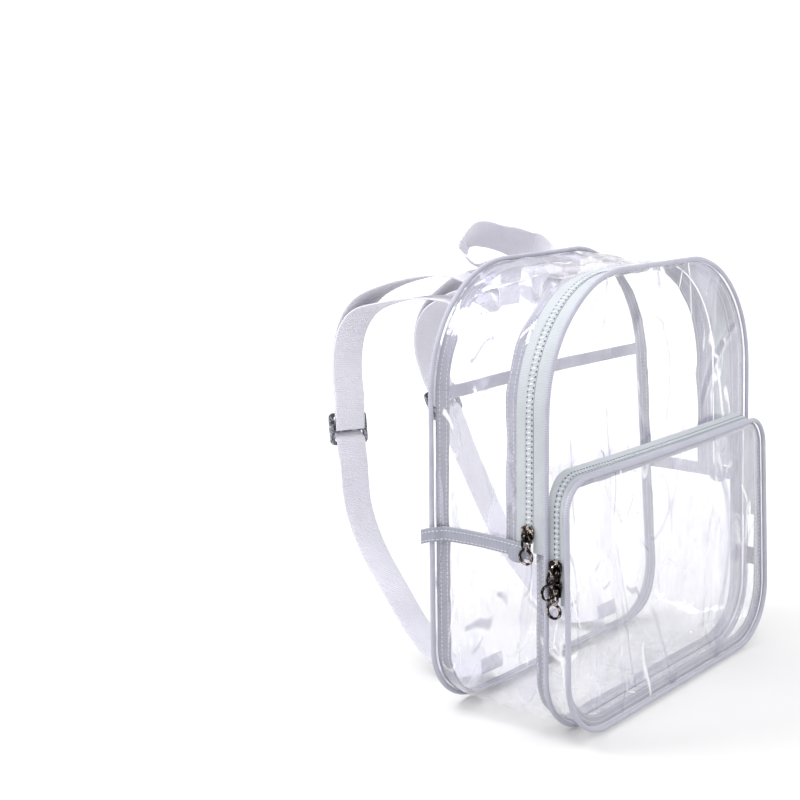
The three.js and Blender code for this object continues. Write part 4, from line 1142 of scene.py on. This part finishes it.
# Webbing through rows of a centre and a width direction: smooth, with soft selvedges
def addWebbing(name, node, rows, width=25.0, thick=1.3, step=1.3, even=2.0):
    at = np.array([r[0] for r in rows])
    wide = unit(np.array([r[1] for r in rows]))
    tangents = unit(np.concatenate([at[1:2] - at[:1], at[2:] - at[:-2], at[-1:] - at[-2:-1]]))
    wide = unit(wide - tangents * (wide * tangents).sum(1, keepdims=True))
    arc = alongArc(at)
    fine = np.linspace(0, arc[-1], max(12, int(arc[-1] / step)))
    slopes = np.gradient(at, arc, axis=0)

    def hermite(values, slopes):
        k = np.clip(np.searchsorted(arc, fine, side="right") - 1, 0, len(arc) - 2)
        h = (arc[k + 1] - arc[k])[:, None]
        w = ((fine - arc[k])[:, None]) / h
        return ((1 + 2 * w) * (1 - w) ** 2 * values[k] + w * (1 - w) ** 2 * h * slopes[k]
                + w * w * (3 - 2 * w) * values[k + 1] + w * w * (w - 1) * h * slopes[k + 1])

    path = hermite(at, slopes)
    side = unit(evened(hermite(wide, np.gradient(wide, arc, axis=0)), fine, even))
    along = unit(np.gradient(path, fine, axis=0))
    side = unit(side - along * (side * along).sum(1, keepdims=True))
    normal = np.cross(along, side)
    section = roundedSection(width, thick, 15, 4)
    points = path[:, None] + side[:, None] * section[None, :, :1]
    points = points + normal[:, None] * section[None, :, 1:]
    across = np.concatenate([section[:, 0], section[:1, 0]])
    along_ = np.concatenate([fine, [fine[-1] + 1]])
    keep(tube(name, points, looks["webbing"], across=across, along=along_), "webbing", node)


for key, side in (("left", -1), ("right", 1)):
    addWebbing(f"{key}_shoulder_strap", f"{key}_strap", strapPath(side))
    x = side * ringTab["side"]
    top = ringCentres(side)[0]
    layer = webbing["thick"] + gap
    tabRows = [
        flatRow(x, lay, ringLevel - ringTab["foot"]), flatRow(x, lay, ringLevel - ringTab["lead"]),
        flatRow(x, lay + ringTab["swell"], ringLevel + ringTab["over"]),
        *turnRound(top, ring["bar"] * math.sqrt(2) / 2 + lay, 6, -1),
        flatRow(x, lay + layer + ringTab["pinch"], ringLevel - ringTab["close"]),
        flatRow(x, lay + layer, ringLevel - ringTab["foot"]),
    ]
    addWebbing(f"{key}_ring_loop", f"{key}_ring_tab", tabRows, step=0.8)

handleRows = [
    (-1, .5, -.5, (-.93, -.07, .35)), (-1, .93, 0, (-.81, -.35, .47)),
    (-.91, .9, .5, (-.51, -.46, .73)), (-.56, .93, .66, (-.09, -.61, .78)),
    (-.13, .88, .53, (-.08, -.81, .59)), (.25, .74, .32, (.05, -.66, .7)),
    (.63, .62, 0, (-.04, -.6, .8)), (.86, .36, -.26, (.75, .25, .6)),
]


def handlePath():
    half = handle["spread"] / 2
    clearOff = pipingReach + lay
    seamLevel = bodySeam["high"] - pipingRadius

    def root(side):
        return [
            flatRow(side * half, lay, seamLevel - handle["rootDrop"] - handle["rootLength"]),
            flatRow(side * half, lay, seamLevel - handle["rootDrop"]), flatRow(side * half, clearOff, seamLevel),
        ]

    guide = Route([
        behind(across * half, clearOff + back * handle["back"], body["height"]) + [0, 0, rise * handle["rise"]]
        for across, back, rise, _ in handleRows
    ])
    arc = []
    for k in range(21):
        place = k / 20 * (len(handleRows) - 1)
        low = min(len(handleRows) - 2, int(place))
        a, b = np.array(handleRows[low][3]), np.array(handleRows[low + 1][3])
        arc.append((guide.at(k / 20), a + (b - a) * (place - low)))
    left = [(at, -wide) for at, wide in root(-1)]
    return [*left, *arc, *root(1)[::-1]]


addWebbing("grab_handle", "carry_handle", handlePath(), step=0.9, even=9.0)
print("webbing woven")


# Metal, from merged copies of the frame's parts
def refined(name, node, look, slot, bevel, segments, body="bag", angle=28):
    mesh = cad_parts[node].data.copy()
    mesh.name = name
    bm = bmesh.new()
    bm.from_mesh(mesh)
    bmesh.ops.remove_doubles(bm, verts=bm.verts, dist=2e-6)
    bmesh.ops.dissolve_limit(bm, angle_limit=math.radians(1.5), verts=bm.verts, edges=bm.edges)
    bm.to_mesh(mesh)
    bm.free()
    mesh.materials.clear()
    mesh.materials.append(looks[look])
    piece = bpy.data.objects.new(name, mesh)
    bpy.context.scene.collection.objects.link(piece)
    soften = piece.modifiers.new("soften", "BEVEL")
    soften.width = bevel * mm
    soften.segments = segments
    soften.limit_method = "ANGLE"
    soften.angle_limit = math.radians(angle)
    soften.use_clamp_overlap = True
    bakeMesh(piece)
    for polygon in piece.data.polygons:
        polygon.use_smooth = True
    piece.data.set_sharp_from_angle(angle=math.radians(50))
    return keep(piece, slot, node, body=body)


for key in ("left", "right"):
    refined(f"{key}_strap_ring", f"{key}_ring", "satin", "metal", 0.9, 3)
    refined(f"{key}_strap_adjuster", f"{key}_adjuster", "satin", "buckle", 0.8, 3)
for key in ("main", "pocket_upper", "pocket_lower"):
    refined(f"{key}_zip_slider", f"{key}_slider", "chrome", "metal", 0.22, 2)
    refined(f"{key}_zip_pull", f"{key}_pull", "chrome", "metal", 0.3, 2, body=f"{key}_pull")
print("metal finished")


# Floor, light and camera
floorGlow = {"near": 0.18, "far": 0.6, "bounce": 0.1}


def addFloor():
    mesh = bpy.data.meshes.new("floor")
    reach, level = 6.0, -0.0008
    corners = [(-reach, -reach), (reach, -reach), (reach, reach), (-reach, reach)]
    mesh.from_pydata([(x, y, level) for x, y in corners], [], [(0, 1, 2, 3)])
    floor = bpy.data.objects.new("floor", mesh)
    bpy.context.scene.collection.objects.link(floor)
    recipe = Recipe("white floor")
    away = recipe.add("ShaderNodeVectorMath", {0: recipe.place()}, operation="LENGTH").outputs["Value"]
    glow = recipe.ramp(away, 0.35, 1.1, floorGlow["near"], floorGlow["far"])
    seen = recipe.add("ShaderNodeLightPath").outputs["Is Camera Ray"]
    bounce = recipe.math("MULTIPLY", recipe.math("SUBTRACT", 1.0, seen), floorGlow["bounce"])
    shader = recipe.add("ShaderNodeBsdfPrincipled", {
        "Base Color": (0.5, 0.5, 0.5, 1), "Roughness": 0.8, "Specular IOR Level": 0.1,
        "Emission Color": (1, 1, 1, 1), "Emission Strength": recipe.math("ADD", glow, bounce),
    })
    mesh.materials.append(recipe.finish(shader.outputs[0]))


addFloor()


def addWorld():
    world = bpy.data.worlds.new("white studio")
    bpy.context.scene.world = world
    world.use_nodes = True
    tree = world.node_tree
    tree.nodes.clear()
    node = tree.nodes.new
    link = tree.links.new
    out = node("ShaderNodeOutputWorld")
    coords = node("ShaderNodeTexCoord")
    split = node("ShaderNodeSeparateXYZ")
    link(coords.outputs["Generated"], split.inputs[0])
    ramp = node("ShaderNodeValToRGB")
    stops = ramp.color_ramp.elements
    stops[0].position, stops[0].color = 0.0, (1, 1, 1, 1)
    stops[1].position, stops[1].color = 1.0, (0.75, 0.74, 0.80, 1)
    for place, value in ((0.12, 1.0), (0.3, 0.68), (0.5, 0.78), (0.75, 0.98)):
        stop = stops.new(place)
        stop.color = (value, value * 0.985, value * 1.02, 1)
    link(split.outputs[2], ramp.inputs[0])
    sky = node("ShaderNodeMapRange")
    sky.inputs[3].default_value = 0.42
    sky.inputs[4].default_value = 2.0
    link(split.outputs[2], sky.inputs[0])
    seen = node("ShaderNodeBackground")
    seen.inputs[0].default_value = (1, 1, 1, 1)
    seen.inputs[1].default_value = 1.05
    lit = node("ShaderNodeBackground")
    lit.inputs[0].default_value = (0.995, 0.995, 1, 1)
    link(sky.outputs[0], lit.inputs[1])
    mirrored = node("ShaderNodeBackground")
    link(ramp.outputs[0], mirrored.inputs[0])
    rays = node("ShaderNodeLightPath")
    first, second = node("ShaderNodeMixShader"), node("ShaderNodeMixShader")
    link(rays.outputs["Is Glossy Ray"], first.inputs[0])
    link(lit.outputs[0], first.inputs[1])
    link(mirrored.outputs[0], first.inputs[2])
    link(rays.outputs["Is Camera Ray"], second.inputs[0])
    link(first.outputs[0], second.inputs[1])
    link(seen.outputs[0], second.inputs[2])
    link(second.outputs[0], out.inputs[0])


addWorld()


def addLamp(name, place, target, size, power):
    light = bpy.data.lights.new(name, "AREA")
    light.shape = "RECTANGLE"
    light.size, light.size_y = size
    light.energy = power
    lamp = bpy.data.objects.new(name, light)
    bpy.context.scene.collection.objects.link(lamp)
    lamp.location = place
    lamp.rotation_euler = (Vector(target) - Vector(place)).to_track_quat("-Z", "Y").to_euler()


addLamp("key softbox", (-0.7, 0.9, 1.7), (0, 0, 0.15), (0.7, 0.7), 22)
addLamp("side softbox", (1.5, -1.0, 0.9), (0, 0, 0.15), (0.6, 1.2), 5)
addLamp("front softbox", (-1.2, -1.1, 1.0), (0, 0, 0.15), (0.5, 0.9), 5)

shot = {
    "place": (-831.88, -527.66, 376.56), "yaw": -49.291, "pitch": 10.032, "roll": -1.525,
    "focal": 1391.3, "imageWidth": 800, "sensor": 36,
}


def addCamera():
    yaw, pitch, roll = (math.radians(shot[k]) for k in ("yaw", "pitch", "roll"))
    backward = Vector((math.sin(yaw) * math.cos(pitch), -math.cos(yaw) * math.cos(pitch), math.sin(pitch)))
    right = Vector((math.cos(yaw), math.sin(yaw), 0))
    up = backward.cross(right)
    c, s = math.cos(roll), math.sin(roll)
    right, up = c * right + s * up, -s * right + c * up
    data = bpy.data.cameras.new("camera")
    data.sensor_width = shot["sensor"]
    data.lens = shot["focal"] / shot["imageWidth"] * shot["sensor"]
    data.clip_start = 0.01
    camera = bpy.data.objects.new("camera", data)
    bpy.context.scene.collection.objects.link(camera)
    camera.matrix_world = Matrix((
        (right.x, up.x, backward.x, shot["place"][0] * mm),
        (right.y, up.y, backward.y, shot["place"][1] * mm),
        (right.z, up.z, backward.z, shot["place"][2] * mm),
        (0, 0, 0, 1),
    ))
    bpy.context.scene.camera = camera


addCamera()
bpy.context.scene.view_settings.view_transform = "Standard"
bpy.context.scene.cycles.transparent_max_bounces = 40  # many layers of clear film, one behind the other
print("studio set")
